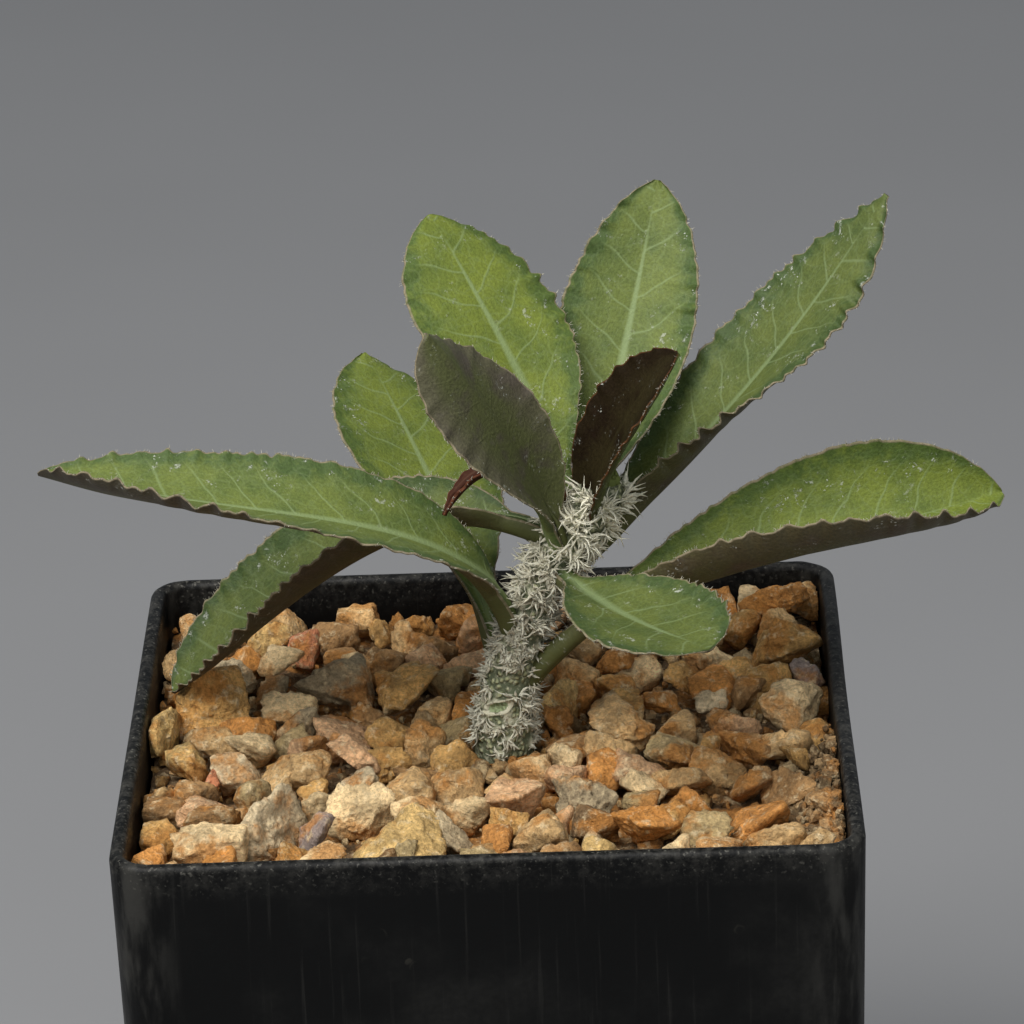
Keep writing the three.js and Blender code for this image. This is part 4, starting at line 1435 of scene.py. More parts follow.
@dataclass
class Stem:
    """Leaning stem under curled bristly stipules, with a bare band, a leaf scar and a bud at its tip."""

    y: float = -3.0
    base_x: float = 1.3
    lean_from: float = 73.0
    lean_rate: float = 0.031
    lean_power: float = 1.8
    root_bottom: float = 34.0
    heights: tuple = (34.0, 60.0, 72.0, 77.0, 82.0, 87.0, 91.0, 95.0, 98.0, 99.2)
    radii: tuple = (1.4, 2.8, 2.8, 2.5, 2.1, 2.0, 2.2, 2.7, 2.2, 0.9)
    seat_depth: float = 0.3
    seed: int = 5
    count: int = 120
    spikes_from: float = 73.2
    spikes_to: float = 98.4
    spiral: float = 137.5
    scatter: float = 20.0
    shortest: float = 1.1
    longest: float = 1.9
    lean: float = 1.5
    upward: float = 0.15
    bare: tuple[float, float, float, float] = (78.3, 80.6, -95.0, 50.0)
    bud: tuple[float, float, float] = (99.4, 0.9, 3.2)
    tuft: int = 26
    extra: int = 150
    sides: int = 72
    plain_rings: int = 12
    plain_to: float = 68.0
    fine_rings: tuple[float, float, float] = (68.3, 98.9, 0.16)
    knob_size: float = 0.62
    knob_height: float = 0.34
    pebble_size: float = 0.42
    pebble_height: float = 0.16
    scar_z: float = 77.1
    scar_turn: float = 12.0
    scar_spread: float = 26.0
    scar_half: float = 0.62
    scar_room: float = 1.5
    lip_height: float = 0.22
    lip_below: float = 78.4
    tuft_seed: int = 3
    extra_z: tuple[float, float] = (72.2, 98.8)
    extra_length: tuple[float, float] = (0.7, 1.3)
    bristle_radius: float = 0.165
    bristle_spread: float = 0.6
    bristle_share: tuple[float, float] = (0.4, 1.0)
    bristle_slide: float = 0.25
    longer_z: tuple[float, float] = (83.0, 93.0)
    longer_by: float = 0.5
    # painted light: the heights over which the bristles are lightened, from none to full
    painted_light_z: tuple[float, float] = (87.0, 96.0)

    def x(self, z: Array) -> Array:
        """Returns the axis: straight below, then leaning by a power of the height above the gravel."""
        return self.base_x + self.lean_rate * np.maximum(0, z - self.lean_from) ** self.lean_power

    def radius(self, z: Array) -> Array:
        """Returns the radius at a height, between the listed ones."""
        return np.interp(z, self.heights, self.radii)

    def spikes(self) -> tuple[Array, Array, Array]:
        """Places the spikes of the CAD solid by its own seeded rule.

        Returns:
            Their feet, directions and lengths.
        """
        random = Seeded(self.seed)
        feet = []
        ways = []
        lengths = []
        low, high, facing, spread = self.bare
        for i in range(self.count):
            share = (i + random.draw()) / self.count
            z = self.spikes_from + (self.spikes_to - self.spikes_from) * share
            angle = i * self.spiral + self.scatter * random.draw()
            length = self.shortest + (self.longest - self.shortest) * random.draw() * (1 + share) / 2
            tilt = np.array([random.draw() - 0.5 for _ in range(3)]) + (0, 0, self.upward)
            if low < z < high and abs(turned_from(facing, angle)) < spread:
                continue
            out = np.array([np.cos(np.radians(angle)), np.sin(np.radians(angle)), 0])
            feet.append(np.array([self.x(z), self.y, z]) + out * self.radius(z))
            ways.append(out + self.lean * tilt)
            lengths.append(length)
        return np.array(feet), unit(np.array(ways)), np.array(lengths)

    def small_tufts(self, rng: np.random.Generator) -> tuple[Array, Array, Array]:
        """Places small tufts between the spikes, at random round the stem but not on its bare band.

        Args:
            rng: the numbers.

        Returns:
            Their feet, directions and lengths.
        """
        low, high, facing, spread = self.bare
        z = rng.uniform(*self.extra_z, self.extra)
        turn = rng.uniform(-180, 180, self.extra)
        away = turned_from(facing, turn)
        in_band = (z > low) & (z < high) & (np.abs(away) < spread)
        turn = np.where(in_band, facing + 180 + away, turn)
        out = np.stack([np.cos(np.radians(turn)), np.sin(np.radians(turn)), np.zeros(self.extra)], -1)
        axis = np.stack([self.x(z), np.full(self.extra, self.y), z], -1)
        ways = unit(out + 0.35 * rng.normal(size=(self.extra, 3)))
        lengths = rng.uniform(*self.extra_length, self.extra)
        return axis + out * self.radius(z)[:, None], ways, lengths

    def skin(self, feet: Array) -> Surface:
        """Makes the bark: a tube along the axis, raised by a round knob under every tuft.

        A knob is exp(−(distance/size)²). Pebbles, the bare band and the lip of the leaf scar raise the
        bark as well. The scar itself is flat.

        Args:
            feet: where the tufts stand.

        Returns:
            The bark's closed skin.
        """
        plain = np.linspace(self.root_bottom, self.plain_to, self.plain_rings)
        z = np.concatenate([plain, np.arange(*self.fine_rings)])
        angle = np.linspace(0, 2 * np.pi, self.sides, endpoint=False)
        zz, aa = np.meshgrid(z, angle, indexing="ij")
        out = np.stack([np.cos(aa), np.sin(aa), np.zeros_like(aa)], -1)
        axis = np.stack([self.x(zz), np.full_like(zz, self.y), zz], -1)
        base = axis + out * self.radius(zz)[..., None]
        apart = np.linalg.norm(base[..., None, :] - feet, axis=-1)
        knob = np.exp(-((apart / self.knob_size) ** 2)).max(-1)
        low, high, facing, spread = self.bare
        turn = turned_from(facing, np.degrees(aa))
        band = smooth(zz, low - 0.6, low) * (1 - smooth(zz, high, high + 0.5))
        band = band * (1 - smooth(np.abs(turn), spread, spread + 15))
        pebble = np.abs(layered_noise(base / self.pebble_size, 5, 2))
        scar_x = (turn + self.scar_turn) / self.scar_spread
        scar_y = (zz - self.scar_z - 0.25 * scar_x) / self.scar_half
        from_scar = np.hypot(scar_x, scar_y)
        scar = 1 - smooth(from_scar, 0.75, 1.0)
        lip = np.exp(-((from_scar - 1.1) / 0.2) ** 2)
        lip_shown = zz < self.lip_below
        lift = self.knob_height * knob * (1 - scar) + self.pebble_height * pebble * (1 - scar)
        lift = lift + self.lip_height * lip * lip_shown + 0.1 * band
        lift *= smooth(zz, 68.5, 71)
        points, faces = lofted(base + out * lift[..., None])
        marked = np.maximum(scar, 0.5 * lip * lip_shown)
        bark = np.stack([knob * (1 - band), marked, np.zeros_like(knob)], -1).reshape(-1, 3)
        bark = np.concatenate([bark, bark[:1], bark[-1:]])
        return Surface(points, faces, {"bark": bark})

    def scar_middle(self) -> Array:
        """Works out the middle of the leaf scar: the axis, and the radius out from it.

        Returns:
            A point on the stem's skin.
        """
        z = np.array(self.scar_z)
        around = np.radians(self.bare[2] - self.scar_turn)
        axis = np.array([float(self.x(z)), self.y, self.scar_z])
        return axis + float(self.radius(z)) * np.array([np.cos(around), np.sin(around), 0.0])

    def bud_skin(self) -> Surface:
        """Makes the bud: three small pointed scales folded over one another, each a squashed drop.

        Returns:
            The bud's skin.
        """
        z, radius, height = self.bud
        directions, triangles = ball(4)
        parts = []
        for i, turn in enumerate(np.radians([10.0, 130.0, 250.0])):
            taper = 1 - 0.75 * np.clip(directions[:, 2:3], 0, 1) ** 1.3
            size = (radius * 0.62, radius * 0.5, height / 2 * (1 - 0.12 * i))
            local = directions * size * np.hstack([taper, taper, np.ones_like(taper)])
            shift = np.array([np.cos(turn), np.sin(turn), 0]) * radius * 0.34
            local[:, :2] += shift[:2] * (1 - 0.6 * np.clip(directions[:, 2:3], 0, 1))
            parts.append(Surface(local + (self.x(z), self.y, z), [triangles], {}))
        skin = Surface.joined(parts)
        skin.faces = outward(skin.points, skin.faces)
        skin.values["bark"] = np.repeat([[0.0, 0.0, 1.0]], len(skin.points), 0)
        return skin

    def build(self, bark: Finish, bristle: Finish) -> None:
        """Makes the bark with its bud, and the bristly stipules on it.

        Args:
            bark: the finish of the stem.
            bristle: the finish of the stipules.
        """
        rng = np.random.default_rng(self.tuft_seed)
        feet, ways, lengths = self.spikes()
        more = self.small_tufts(rng)
        feet, ways, lengths = (np.concatenate(pair) for pair in zip((feet, ways, lengths), more))
        piece = Surface.joined([self.skin(feet), self.bud_skin()]).build("stem_bark", bark, "stem_bark")
        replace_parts(piece, "stem")
        self.bristles(feet, ways, lengths, rng).build("stem_bristles", bristle, "stem_bark")

    def bristles(self, feet: Array, ways: Array, lengths: Array, rng: np.random.Generator) -> Surface:
        """Makes the stipules: a tuft of curled bristles on every knob, longer higher up, and with
        painted light on the higher ones.

        A bristle that would point into the stem is turned outwards, and none stands on the leaf scar
        or on the bare band.

        Args:
            feet: where the tufts stand.
            ways: which way they point.
            lengths: how long they are.
            rng: numbers for the places, directions and lengths.

        Returns:
            The bristles as one skin.
        """
        is_spike = np.arange(len(feet)) < len(feet) - self.extra
        tuft = np.where(is_spike, self.tuft, self.tuft // 2)
        count = int(tuft.sum())
        foot = np.repeat(feet, tuft, 0)
        way = unit(np.repeat(ways, tuft, 0) + self.bristle_spread * rng.normal(size=(count, 3)))
        longer = 1 + self.longer_by * smooth(foot[:, 2], *self.longer_z)
        length = np.repeat(lengths, tuft) * rng.uniform(*self.bristle_share, count) * longer
        axis = np.stack([self.x(foot[:, 2]), np.full(count, self.y), foot[:, 2]], -1)
        outer = unit(foot - axis)
        inwards = (way * outer).sum(1) < 0.1
        way = np.where(inwards[:, None], unit(way + 1.1 * outer), way)
        slide = rng.normal(size=(count, 3)) * self.bristle_slide
        slide -= outer * (slide * outer).sum(1, keepdims=True)
        foot = foot + slide + outer * 0.05
        low, high, facing, spread = self.bare
        turn = turned_from(facing, np.degrees(np.arctan2(outer[:, 1], outer[:, 0])))
        in_band = (foot[:, 2] > low) & (foot[:, 2] < high) & (np.abs(turn) < spread)
        from_scar = np.linalg.norm((foot - self.scar_middle()) * (1.0, 1.0, 1.4), axis=1)
        shown = (from_scar > self.scar_room) & ~in_band
        foot, way, length = foot[shown], way[shown], length[shown]
        hairs = curled(foot, way, length, self.bristle_radius, 1.0, rng)
        # painted light: the third value grows with height and lightens the bristles near the tip
        hairs.values["bristle"][:, 2] = smooth(hairs.points[:, 2], *self.painted_light_z)
        return hairs


def curled(
    foot: Array, way: Array, length: Array, radius: float, curl: float, rng: np.random.Generator,
) -> Surface:
    """Makes many curled tapered hairs, each along foot + way·L·t + bend·curl·L·t².

    Their three-sided section shrinks to the tip.

    Args:
        foot: where each one starts.
        way: the direction it starts in.
        length: its length.
        radius: its radius at the foot.
        curl: how far it bends, as a share of its length.
        rng: numbers for the bends and shades.

    Returns:
        All hairs as one skin, which carries the share along each hair, its shade and 0.
    """
    count = len(foot)
    t = np.linspace(0, 1, HAIR_RINGS)
    bend = unit(np.cross(way, unit(rng.normal(size=(count, 3)))))
    second = np.cross(way, bend)
    amount = (curl * rng.uniform(0.2, 1.0, count) * length)[:, None, None]
    tt = t[None, :, None]
    line = foot[:, None] + way[:, None] * (length[:, None, None] * tt)
    line = line + bend[:, None] * amount * tt**2
    line = line + second[:, None] * amount * 0.5 * np.sin(2.6 * tt) * tt
    angle = np.arange(HAIR_SIDES) * 2 * np.pi / HAIR_SIDES
    thick = radius * (1 - 0.9 * t**2.5)[None, :, None, None]
    thick = thick * rng.uniform(0.6, 1.4, (count, 1, 1, 1))
    wide = bend[:, None, None] * np.cos(angle)[:, None] * 1.5
    ring = wide + second[:, None, None] * np.sin(angle)[:, None]
    rows = line[:, :, None] + ring * np.maximum(thick, 0.012)
    points = rows.reshape(-1, 3)
    per_hair = HAIR_RINGS * HAIR_SIDES
    starts = (np.arange(count) * per_hair)[:, None, None]
    one = grid_faces(HAIR_RINGS, HAIR_SIDES, True)
    faces = (one[None] + starts).reshape(-1, 4)
    caps = np.array([[2, 1, 0], [per_hair - 3, per_hair - 2, per_hair - 1]])
    caps = (caps[None] + starts).reshape(-1, 3)
    along = np.broadcast_to(t[None, :, None], (count, HAIR_RINGS, HAIR_SIDES)).ravel()
    shade = np.repeat(rng.random(count), per_hair)
    values = {"bristle": np.stack([along, shade, np.zeros_like(shade)], -1)}
    return Surface(points, outward(points, [faces, caps]), values)


# The leaves


@dataclass
class Leaf:
    """One leaf blade: a folded, wavy-edged sheet along a curved midrib, as in the CAD source."""

    node: str
    seat: float
    heading: tuple[float, float]
    lift: tuple[float, float]
    bend: float
    length: float
    width: float
    twist: tuple[float, float]
    fold: tuple[float, float, float]
    broad: tuple[float, float]
    waves: int
    finish: LeafSkin
    seed: int = 1
    crisp: tuple[float, float] = (0.5, 0.5)
    turned: bool = False
    stalk_share: float = 0.09
    stalk_half_width: float = 1.0
    tip_half_width: float = 0.35
    half_thickness: float = 0.34
    margin_thickness: float = 0.1
    keel: float = 0.5
    keel_fade: float = 0.7
    fold_near: float = 0.4
    fold_growth: float = 1.2
    wave_height: float = 0.42
    tooth: float = 0.22
    columns: int = 37
    rows_per_wave: int = 12
    midrib_steps: int = 960
    crowding: float = 1.55
    inward: float = 0.4
    keel_width: float = 0.75
    channel: float = 0.14
    channel_width: float = 0.9
    rim_reach: float = 0.09
    stalk_thickness: float = 0.45
    tip_thinning: float = 0.65
    small_wave: float = 0.2
    teeth_rise: float = 0.12
    teeth_reach: float = 0.16
    sag: float = 0.3
    fine_tooth: float = 0.55
    hairs_per_mm: float = 3.2
    hair_length: tuple[float, float] = (0.15, 0.42)
    hair_radius: float = 0.022
    hair_curl: float = 0.4
    rims: tuple[Array, ...] = ()

    def frame(self, share: Array) -> tuple[Array, Array, Array]:
        """Works out the way ahead, across and up along the midrib from heading, lift and roll.

        Heading and roll change evenly. The lift is its second value, plus its fall times
        (1 − share) to the power of the bend.

        Args:
            share: parts of the length.

        Returns:
            Three arrays of unit vectors.
        """
        heading = np.radians(self.heading[0] + (self.heading[1] - self.heading[0]) * share)
        early = np.maximum(0, 1 - share) ** self.bend
        lift = np.radians(self.lift[1] + (self.lift[0] - self.lift[1]) * early)[:, None]
        roll = np.radians(self.twist[0] + (self.twist[1] - self.twist[0]) * share)[:, None]
        level = np.stack([np.cos(heading), np.sin(heading), np.zeros_like(heading)], -1)
        upright = np.array([0.0, 0.0, 1.0])
        ahead = level * np.cos(lift) + upright * np.sin(lift)
        rise = upright * np.cos(lift) - level * np.sin(lift)
        side = np.cross(rise, ahead)
        across = side * np.cos(roll) + rise * np.sin(roll)
        return ahead, across, rise * np.cos(roll) - side * np.sin(roll)

    def midrib(self, stem: Stem, share: Array) -> Array:
        """Follows the midrib from its seat: the way ahead, added up in equal steps.

        Args:
            stem: what the leaf sits on.
            share: parts of the length.

        Returns:
            The points of the midrib.
        """
        heading = np.radians(self.heading[0])
        reach = float(stem.radius(np.array(self.seat))) - stem.seat_depth
        x = float(stem.x(np.array(self.seat))) + reach * np.cos(heading)
        start = np.array([x, stem.y + reach * np.sin(heading), self.seat])
        steps = np.linspace(0, 1, self.midrib_steps + 1)
        ahead, _, _ = self.frame((steps[1:] + steps[:-1]) / 2)
        line = np.concatenate([np.zeros((1, 3)), np.cumsum(ahead, 0)])
        line = line * self.length / self.midrib_steps + start
        inside = np.clip(share, 0, 1)
        found = np.stack([np.interp(inside, steps, line[:, i]) for i in range(3)], -1)
        return found + ahead[0] * np.minimum(share, 0)[:, None] * self.length

    def half_width(self, share: Array) -> Array:
        """Works out half the width: a power rise and fall, joined to the stalk and blunt at the tip.

        The form is t^rise·(1 − t)^fall over its own greatest value.

        Args:
            share: parts of the length.

        Returns:
            Half widths.
        """
        t = np.clip((share - self.stalk_share) / (1 - self.stalk_share), 0, 1)
        rise, fall = self.broad
        widest = rise / (rise + fall)
        form = t**rise * (1 - t) ** fall / (widest**rise * (1 - widest) ** fall)
        least = self.tip_half_width * min(1.0, self.width / 12)
        stalk = self.stalk_half_width * np.sqrt(1 - t)
        return np.maximum(np.hypot(form * self.width / 2, stalk), least)

    def skin(self, stem: Stem) -> Surface:
        """Carries a closed section along the midrib.

        The blade thins from the midrib to the margin. A keel runs below the midrib and a shallow
        channel above it, or the other way round where the leaf is turned over. Both margins are
        kept in rims for the hair.

        Args:
            stem: what the leaf sits on.

        Returns:
            The blade's closed skin.
        """
        rows = self.waves * self.rows_per_wave + 1
        share = np.linspace(-self.inward / self.length, 1, rows)
        inside = np.maximum(share, 0)
        _, across, up = self.frame(inside)
        centre = self.midrib(stem, share)
        width = self.half_width(inside)[:, None]
        first, middle, last = self.fold
        fold = first * (1 - inside) ** 2 + 2 * middle * inside * (1 - inside) + last * inside**2
        fold = np.radians(fold)[:, None]
        t = np.linspace(-1, 1, self.columns)
        v = np.sign(t) * (1 - (1 - np.abs(t)) ** self.crowding)
        v[0] = -1
        v[-1] = 1
        place, normal, out = self.sheet(v, across, up, centre, width, fold, inside)
        outer = np.abs(v)
        s = inside[:, None]
        inner = 1 - outer[None] ** 2.2
        thick = self.margin_thickness + (self.half_thickness - self.margin_thickness) * inner
        stalk = self.stalk_thickness * (1 - smooth(s, 0.05, 0.22))
        thick = thick + stalk * (1 - outer[None] ** 2)
        thick = thick * (1 - self.tip_thinning * smooth(s, 0.85, 1.0))
        mm = width * v
        keel = self.keel * (1 - self.keel_fade * s) * np.exp(-((mm / self.keel_width) ** 2))
        channel = self.channel * (1 - s) * np.exp(-((mm / self.channel_width) ** 2))
        channel = channel * smooth(s, 0.05, 0.2)
        rises, sinks = (keel, -channel) if self.turned else (-channel, keel)
        top = place + normal * (thick + rises)[..., None]
        low = place - normal * (thick + sinks)[..., None]
        rim = place + out * self.rim_reach
        rim_right = rim[:, -1:]
        rim_left = rim[:, :1]
        points, faces = lofted(np.concatenate([top, rim_right, low[:, ::-1], rim_left], 1))
        ones = np.ones_like(s)
        outers = np.repeat(outer[None], len(s), 0)
        share_out = np.concatenate([outers, ones, outers[:, ::-1], ones], 1)
        below = np.concatenate([np.zeros_like(mm), ones * 0.5, np.ones_like(mm), ones * 0.5], 1)
        below = 1 - below if self.turned else below
        distance = np.concatenate([mm, mm[:, -1:], mm[:, ::-1], mm[:, :1]], 1)
        length = np.repeat(s * self.length, distance.shape[1], 1)
        blade = np.stack([np.repeat(s, distance.shape[1], 1), share_out, below], -1).reshape(-1, 3)
        blade_mm = np.stack([length, distance, np.zeros_like(length)], -1).reshape(-1, 3)
        blade = np.concatenate([blade, blade[:1], blade[-1:]])
        blade_mm = np.concatenate([blade_mm, blade_mm[:1], blade_mm[-1:]])
        self.rims = (rim_left[:, 0], rim_right[:, 0], out[:, 0], out[:, -1], normal[:, 0])
        return Surface(points, faces, {"blade": blade, "blade_mm": blade_mm})

    def sheet(
        self, v: Array, across: Array, up: Array, centre: Array, width: Array, fold: Array, share: Array,
    ) -> tuple[Array, Array, Array]:
        """Works out the blade's middle sheet as a function of the share along and v across.

        The slope at |v| is fold·(near + growth·|v|), and its cosine and sine are summed from the midrib
        outwards. The margin then waves up and down, and its teeth reach out with it.

        Args:
            v: places across, −1 to 1.
            across: the way across at each row.
            up: the way up at each row.
            centre: the midrib.
            width: half widths, one a row.
            fold: fold angles, one a row.
            share: parts of the length.

        Returns:
            The sheet's points, its normals and the way outwards in it.
        """
        hand = np.sign(v)
        outer = np.abs(v)
        start = fold * self.fold_near
        growth = fold * self.fold_growth
        growth = np.where(np.abs(growth) < 1e-4, 1e-4, growth)
        slope = start + growth * outer
        level = (np.sin(slope) - np.sin(start)) / growth * width
        climb = (np.cos(start) - np.cos(slope)) / growth * width
        across = across[:, None]
        up = up[:, None]
        place = centre[:, None] + across * (hand * level)[..., None] + up * climb[..., None]
        tilt = slope * np.abs(hand)
        normal = up * np.cos(tilt)[..., None] - across * (hand * np.sin(tilt))[..., None]
        out = across * (hand * np.cos(tilt))[..., None] + up * np.sin(tilt)[..., None]
        s = share[:, None]
        crisp = smooth(s, 0.12, 0.3) * (1 - smooth(s, 0.95, 1.0))
        crisp = crisp * (0.45 + 0.55 * smooth(s, 0.3, 0.7))
        crisp = crisp * np.where(hand > 0, *self.crisp)
        where = spread_places(s * self.waves * 0.55, hand * 3.0, 0.0)
        uneven = lattice_noise(where, 31 + self.seed)
        drift = lattice_noise(where * 0.6 + 9.5, 61 + self.seed)
        phase = 2 * np.pi * self.waves * s + 0.9 * drift
        big = np.cos(phase + 0.5 * np.sin(phase)) * (1 + 0.7 * uneven)
        small = np.cos(2 * phase + 1.1 * hand + 2.6 * uneven) * (0.7 + 0.6 * drift)
        fine = spread_places(s * self.length / self.fine_tooth, hand * 5.0, 0.0)
        teeth = lattice_noise(fine, 91 + self.seed)
        ripple = self.wave_height * 0.8 * big * outer**3 + self.small_wave * small * outer**6
        ripple = ripple + self.teeth_rise * teeth * outer**12
        reach = self.tooth * big * outer**3 + self.small_wave * small * outer**8
        even = smooth(s, 0.1, 0.25) * (1 - smooth(s, 0.96, 1.0))
        slow = spread_places(s * 4, v * 1.6, self.seed * 1.7)
        sag = self.sag * lattice_noise(slow, 77) * outer * smooth(s, 0.1, 0.35)
        rises = ripple * crisp + sag
        reaches = reach * crisp + self.teeth_reach * teeth * outer**14 * even
        place = place + normal * rises[..., None] + out * reaches[..., None]
        return place, normal, out

    def hairs(self, rng: np.random.Generator) -> Surface:
        """Makes the fine hair that stands out along both margins.

        Args:
            rng: numbers for places, directions and lengths.

        Returns:
            The hairs as one skin.
        """
        left, right, out_left, out_right, normal = self.rims
        count = int(self.length * self.hairs_per_mm)
        parts = []
        for line, out in ((left, out_left), (right, out_right)):
            at = rng.uniform(0.1, 0.995, count) * (len(line) - 1)
            low = np.floor(at).astype(int)
            part = (at - low)[:, None]
            high = np.minimum(low + 1, len(line) - 1)
            foot = line[low] * (1 - part) + line[high] * part
            way = unit(out[low] + 0.45 * rng.normal(size=(count, 3)) + 0.1 * normal[low])
            length = rng.uniform(*self.hair_length, count)
            foot = foot - out[low] * 0.05
            parts.append(curled(foot, way, length, self.hair_radius, self.hair_curl, rng))
        return Surface.joined(parts)

    def build(self, stem: Stem) -> None:
        """Makes the blade and lets it stand for its CAD node.

        Args:
            stem: what the leaf sits on.
        """
        finish = leaf_material(self.finish)
        piece = self.skin(stem).build(self.node + "_blade", finish, self.finish.slot)
        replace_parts(piece, self.node)


def leaf_material(skin: LeafSkin) -> Finish:
    """Returns the material of a leaf skin, made once for each skin."""
    return bpy.data.materials.get(skin.name) or skin.material()


GROWN = LeafSkin("leaf_green")
# painted shade: a darker copy of the grown green for three leaves that face the light more, so that they
# come out no brighter than the rest
SHADED = LeafSkin(
    "leaf_painted_shade_green",
    centre=(0.098, 0.122, 0.027),
    edge=(0.046, 0.074, 0.020),
    vein=(0.18, 0.235, 0.105),
)
FRESH = LeafSkin(
    "leaf_fresh_green",
    centre=(0.152, 0.188, 0.028),
    edge=(0.067, 0.103, 0.021),
    under=(0.082, 0.062, 0.036),
    greenness=0.5,
)
GREY_BACK = LeafSkin(
    "leaf_grey_backed",
    under=(0.078, 0.064, 0.048),
    under_green=(0.088, 0.096, 0.034),
    greenness=0.6,
)
YOUNG = LeafSkin(
    "leaf_young_purple",
    slot="young_leaf_skin",
    centre=(0.10, 0.12, 0.03),
    edge=(0.06, 0.055, 0.02),
    under=(0.009, 0.0045, 0.0024),
    under_green=(0.030, 0.024, 0.009),
    greenness=0.3,
    margin=(0.075, 0.032, 0.013),
    bloom=(0.017, 0.009, 0.006),
    specular=0.05,
)
YOUNG_CURL = LeafSkin(
    "leaf_young_red",
    slot="young_leaf_skin",
    centre=(0.06, 0.022, 0.012),
    edge=(0.045, 0.015, 0.008),
    vein=(0.10, 0.05, 0.03),
    under=(0.05, 0.017, 0.009),
    under_green=(0.07, 0.03, 0.015),
    greenness=0.2,
    margin=(0.14, 0.05, 0.025),
    bloom=(0.08, 0.04, 0.025),
    roughness=0.7,
    specular=0.12,
)


def leaves() -> list[Leaf]:
    """Lists the leaves, with the same sizes as in the CAD source.

    Returns:
        The eleven leaves.
    """
    return [
        Leaf(
            "leaf_long_left", seat=85, heading=(216, 158), lift=(74, 8), bend=3.6, length=52,
            width=15, twist=(-29, 12), fold=(26, 11, 35), broad=(0.6, 0.6), waves=18,
            finish=GROWN, seed=2, crisp=(0.65, 0.35),
        ),
        Leaf(
            "leaf_arched_left", seat=93.5, heading=(160, 170), lift=(24, -41), bend=3.4,
            length=46, width=15, twist=(-1, -24), fold=(51, 30, 28), broad=(0.7, 0.6), waves=18,
            finish=SHADED, seed=3, crisp=(0.75, 0.4),
        ),
        Leaf(
            "leaf_back_left", seat=79.5, heading=(114, 115), lift=(52, 28), bend=2.4, length=39,
            width=16, twist=(0, 18), fold=(56, -1, -2), broad=(1.4, 0.8), waves=14, finish=FRESH,
            seed=4, crisp=(0.4, 0.4),
        ),
        Leaf(
            "leaf_front", seat=93.5, heading=(237, 210), lift=(62, 56), bend=1.5, length=30,
            width=12, twist=(-79, -52), fold=(57, 22, -42), broad=(0.7, 0.6), waves=12,
            finish=GREY_BACK, seed=5, crisp=(0.3, 0.3), turned=True,
        ),
        Leaf(
            "leaf_back_middle", seat=96.5, heading=(140, 128), lift=(68, 44), bend=1.7,
            length=31.5, width=15.5, twist=(-17, 1), fold=(43, -6, -3), broad=(1, 0.7), waves=13,
            finish=FRESH, seed=6, crisp=(0.35, 0.4),
        ),
        Leaf(
            "leaf_back_right", seat=95, heading=(71, 62), lift=(44, 67), bend=0.8, length=34,
            width=14, twist=(0, 24), fold=(33, 18, 13), broad=(0.7, 0.7), waves=14, finish=GROWN,
            seed=7, crisp=(0.4, 0.7),
        ),
        Leaf(
            "leaf_young_right", seat=93.5, heading=(337, 337), lift=(82, 50), bend=1.2,
            length=22.5, width=11, twist=(41, 35), fold=(35, 23, 17), broad=(0.6, 0.7), waves=10,
            finish=YOUNG, seed=8, crisp=(0.25, 0.25), turned=True,
        ),
        Leaf(
            "leaf_upper_right", seat=90.5, heading=(22, 6), lift=(32, 59), bend=1.1, length=47,
            width=15, twist=(-21, 28), fold=(57, 21, -7), broad=(0.9, 0.9), waves=18,
            finish=SHADED, seed=9, crisp=(0.5, 1.25),
        ),
        Leaf(
            "leaf_far_right", seat=79.5, heading=(-10, 23), lift=(54, 8), bend=3.6, length=50.5,
            width=18, twist=(-18, 33), fold=(60, 56, 45), broad=(1.4, 0.7), waves=18,
            finish=FRESH, seed=10, crisp=(0.35, 0.6),
        ),
        Leaf(
            "leaf_low_front", seat=90.5, heading=(294, 312), lift=(-2, 5), bend=0.9, length=25,
            width=14.5, twist=(6, 3), fold=(34, 14, 9), broad=(1.1, 0.6), waves=11,
            finish=SHADED, seed=11, crisp=(0.4, 0.35),
        ),
        Leaf(
            "leaf_young_curl", seat=95.5, heading=(193, 207), lift=(99, -65), bend=1.1,
            length=17.5, width=4, twist=(0, 0), fold=(35, 20, 15), broad=(0.8, 1.6), waves=8,
            finish=YOUNG_CURL, seed=12, crisp=(0.15, 0.15),
        ),
    ]


# The studio


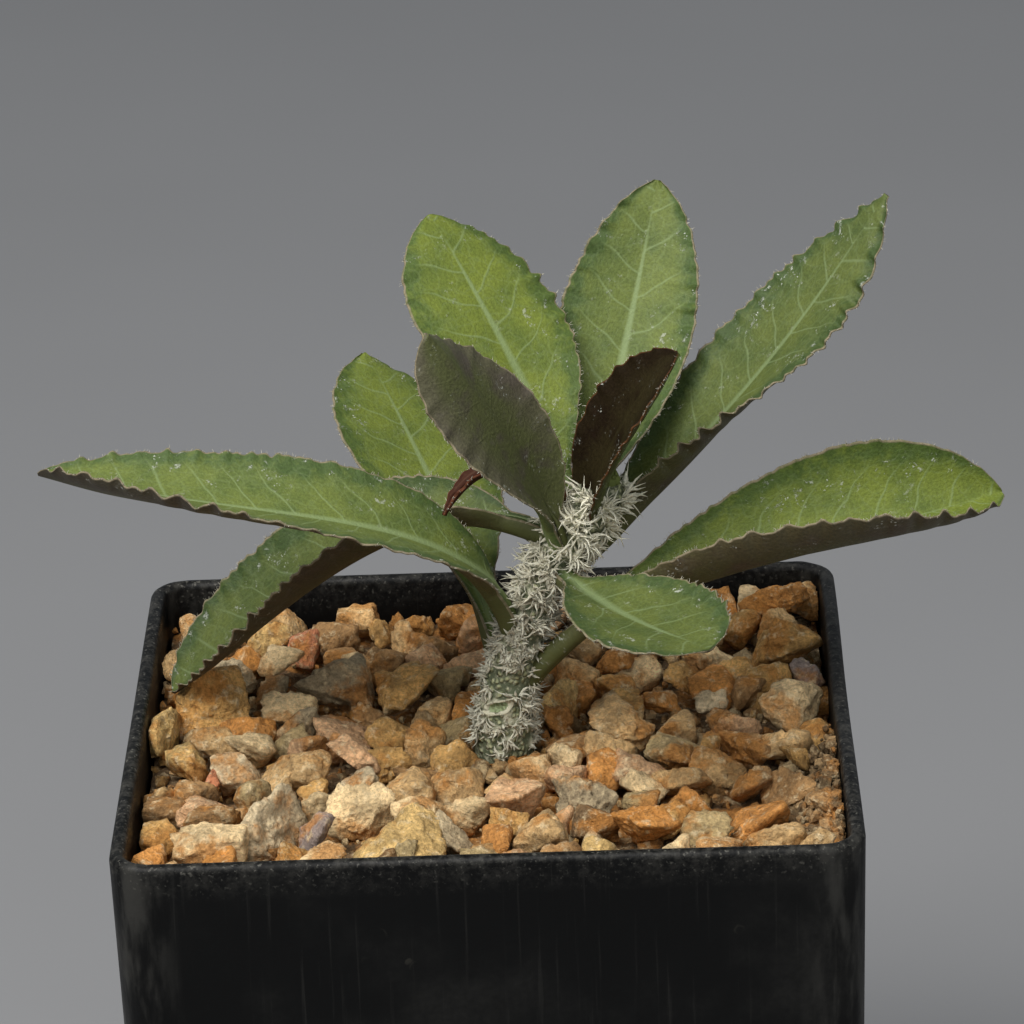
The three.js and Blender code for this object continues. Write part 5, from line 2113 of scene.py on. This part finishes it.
@dataclass
class Studio:
    """Pale floor, soft light from above and the camera at the photograph's angle."""

    place: tuple[float, float, float] = (0.012067, -0.511582, 0.299008)
    right: tuple[float, float, float] = (0.99937442, 0.0038969, -0.03515095)
    up: tuple[float, float, float] = (0.03120648, 0.3705083, 0.92830478)
    back: tuple[float, float, float] = (0.01664123, -0.92882098, 0.37015491)
    lens: float = 201.43
    floor_colour: Colour = (0.25, 0.25, 0.255)
    sky: Colour = (0.86, 0.93, 1.0)
    sky_strength: float = 0.30
    aim: tuple[float, float, float] = (0.0, 0.0, 0.08)
    floor_half: float = 2500.0

    def camera(self) -> None:
        """Stands the camera where the photograph was taken from."""
        data = bpy.data.cameras.new("camera")
        data.lens = self.lens
        data.sensor_width = 36.0
        data.clip_start = 0.01
        data.clip_end = 20.0
        camera = bpy.data.objects.new("camera", data)
        bpy.context.scene.collection.objects.link(camera)
        rows = [[self.right[i], self.up[i], self.back[i], self.place[i]] for i in range(3)]
        camera.matrix_world = Matrix(rows + [[0, 0, 0, 1]])
        bpy.context.scene.camera = camera

    def lamp(self, name: str, place: tuple, size: float, power: float, colour: Colour) -> None:
        """Hangs a square soft light that faces the plant.

        Args:
            name: the lamp's name.
            place: where it hangs, in metres.
            size: its side.
            power: its power in watts.
            colour: its colour.
        """
        data = bpy.data.lights.new(name, "AREA")
        data.shape = "SQUARE"
        data.size = size
        data.energy = power
        data.color = colour
        lamp = bpy.data.objects.new(name, data)
        bpy.context.scene.collection.objects.link(lamp)
        back = unit(np.array(place) - self.aim)
        right = unit(np.cross((0.0, 1.0, 0.01), back))
        up = np.cross(back, right)
        rows = [[right[i], up[i], back[i], place[i]] for i in range(3)]
        lamp.matrix_world = Matrix(rows + [[0, 0, 0, 1]])

    def floor(self) -> None:
        """Lays a plain pale floor under the pot."""
        half = self.floor_half
        corners = np.array([[-half, -half, 0], [half, -half, 0], [half, half, 0], [-half, half, 0]])
        mesh = bpy.data.meshes.new("floor")
        mesh.from_pydata((corners * METRES).tolist(), [], [(0, 1, 2, 3)])
        r = Recipe("floor_paper", 0.85, 0.2)
        shade = r.noise(r.place(), 6, 3)
        colour = r.times(self.floor_colour, r.span(shade, 0.2, 0.8, 0.97, 1.03))
        mesh.materials.append(r.finish(colour, []))
        piece = bpy.data.objects.new("floor", mesh)
        bpy.context.scene.collection.objects.link(piece)

    def build(self) -> None:
        """Sets up the floor, the light and the camera, with plain colours."""
        scene = bpy.context.scene
        scene.view_settings.view_transform = "Standard"
        scene.view_settings.look = "None"
        world = bpy.data.worlds.new("studio")
        world.use_nodes = True
        background = world.node_tree.nodes["Background"]
        background.inputs[0].default_value = (*self.sky, 1.0)
        background.inputs[1].default_value = self.sky_strength
        scene.world = world
        self.floor()
        above = (-0.27, -0.31, 0.70)
        front = (0.35, -0.9, 0.6)
        self.lamp("light_above", above, size=0.48, power=7.6, colour=(1.0, 0.985, 0.96))
        self.lamp("light_front", front, size=0.8, power=2.5, colour=(1.0, 0.99, 0.97))
        self.camera()


def main() -> None:
    """Builds the plant in its pot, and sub-assembly by sub-assembly."""
    logging.basicConfig(level=logging.INFO, format="%(name)s: %(message)s")
    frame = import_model()
    pot = Pot()
    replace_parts(pot.build(PotPlastic().material()), "pot")
    mix = frame["nodes"]["potting_mix"].data
    mix.materials.clear()
    mix.materials.append(PottingMix().material())
    stone = CrushedStone("crushed_stone").material()
    soil = CrushedStone("gravel_soil", dirtiness=0.7).material()
    Gravel(pot).build(stone, soil)
    stem = Stem()
    stem.build(StemBark().material(), Bristle().material())
    rng = np.random.default_rng(HAIR_SEED)
    hairs = []
    for leaf in leaves():
        leaf.build(stem)
        hairs.append(leaf.hairs(rng))
    Surface.joined(hairs).build("leaf_hair", LeafHair().material(), "leaf_skin")
    Studio().build()


if __name__ == "__main__":
    main()
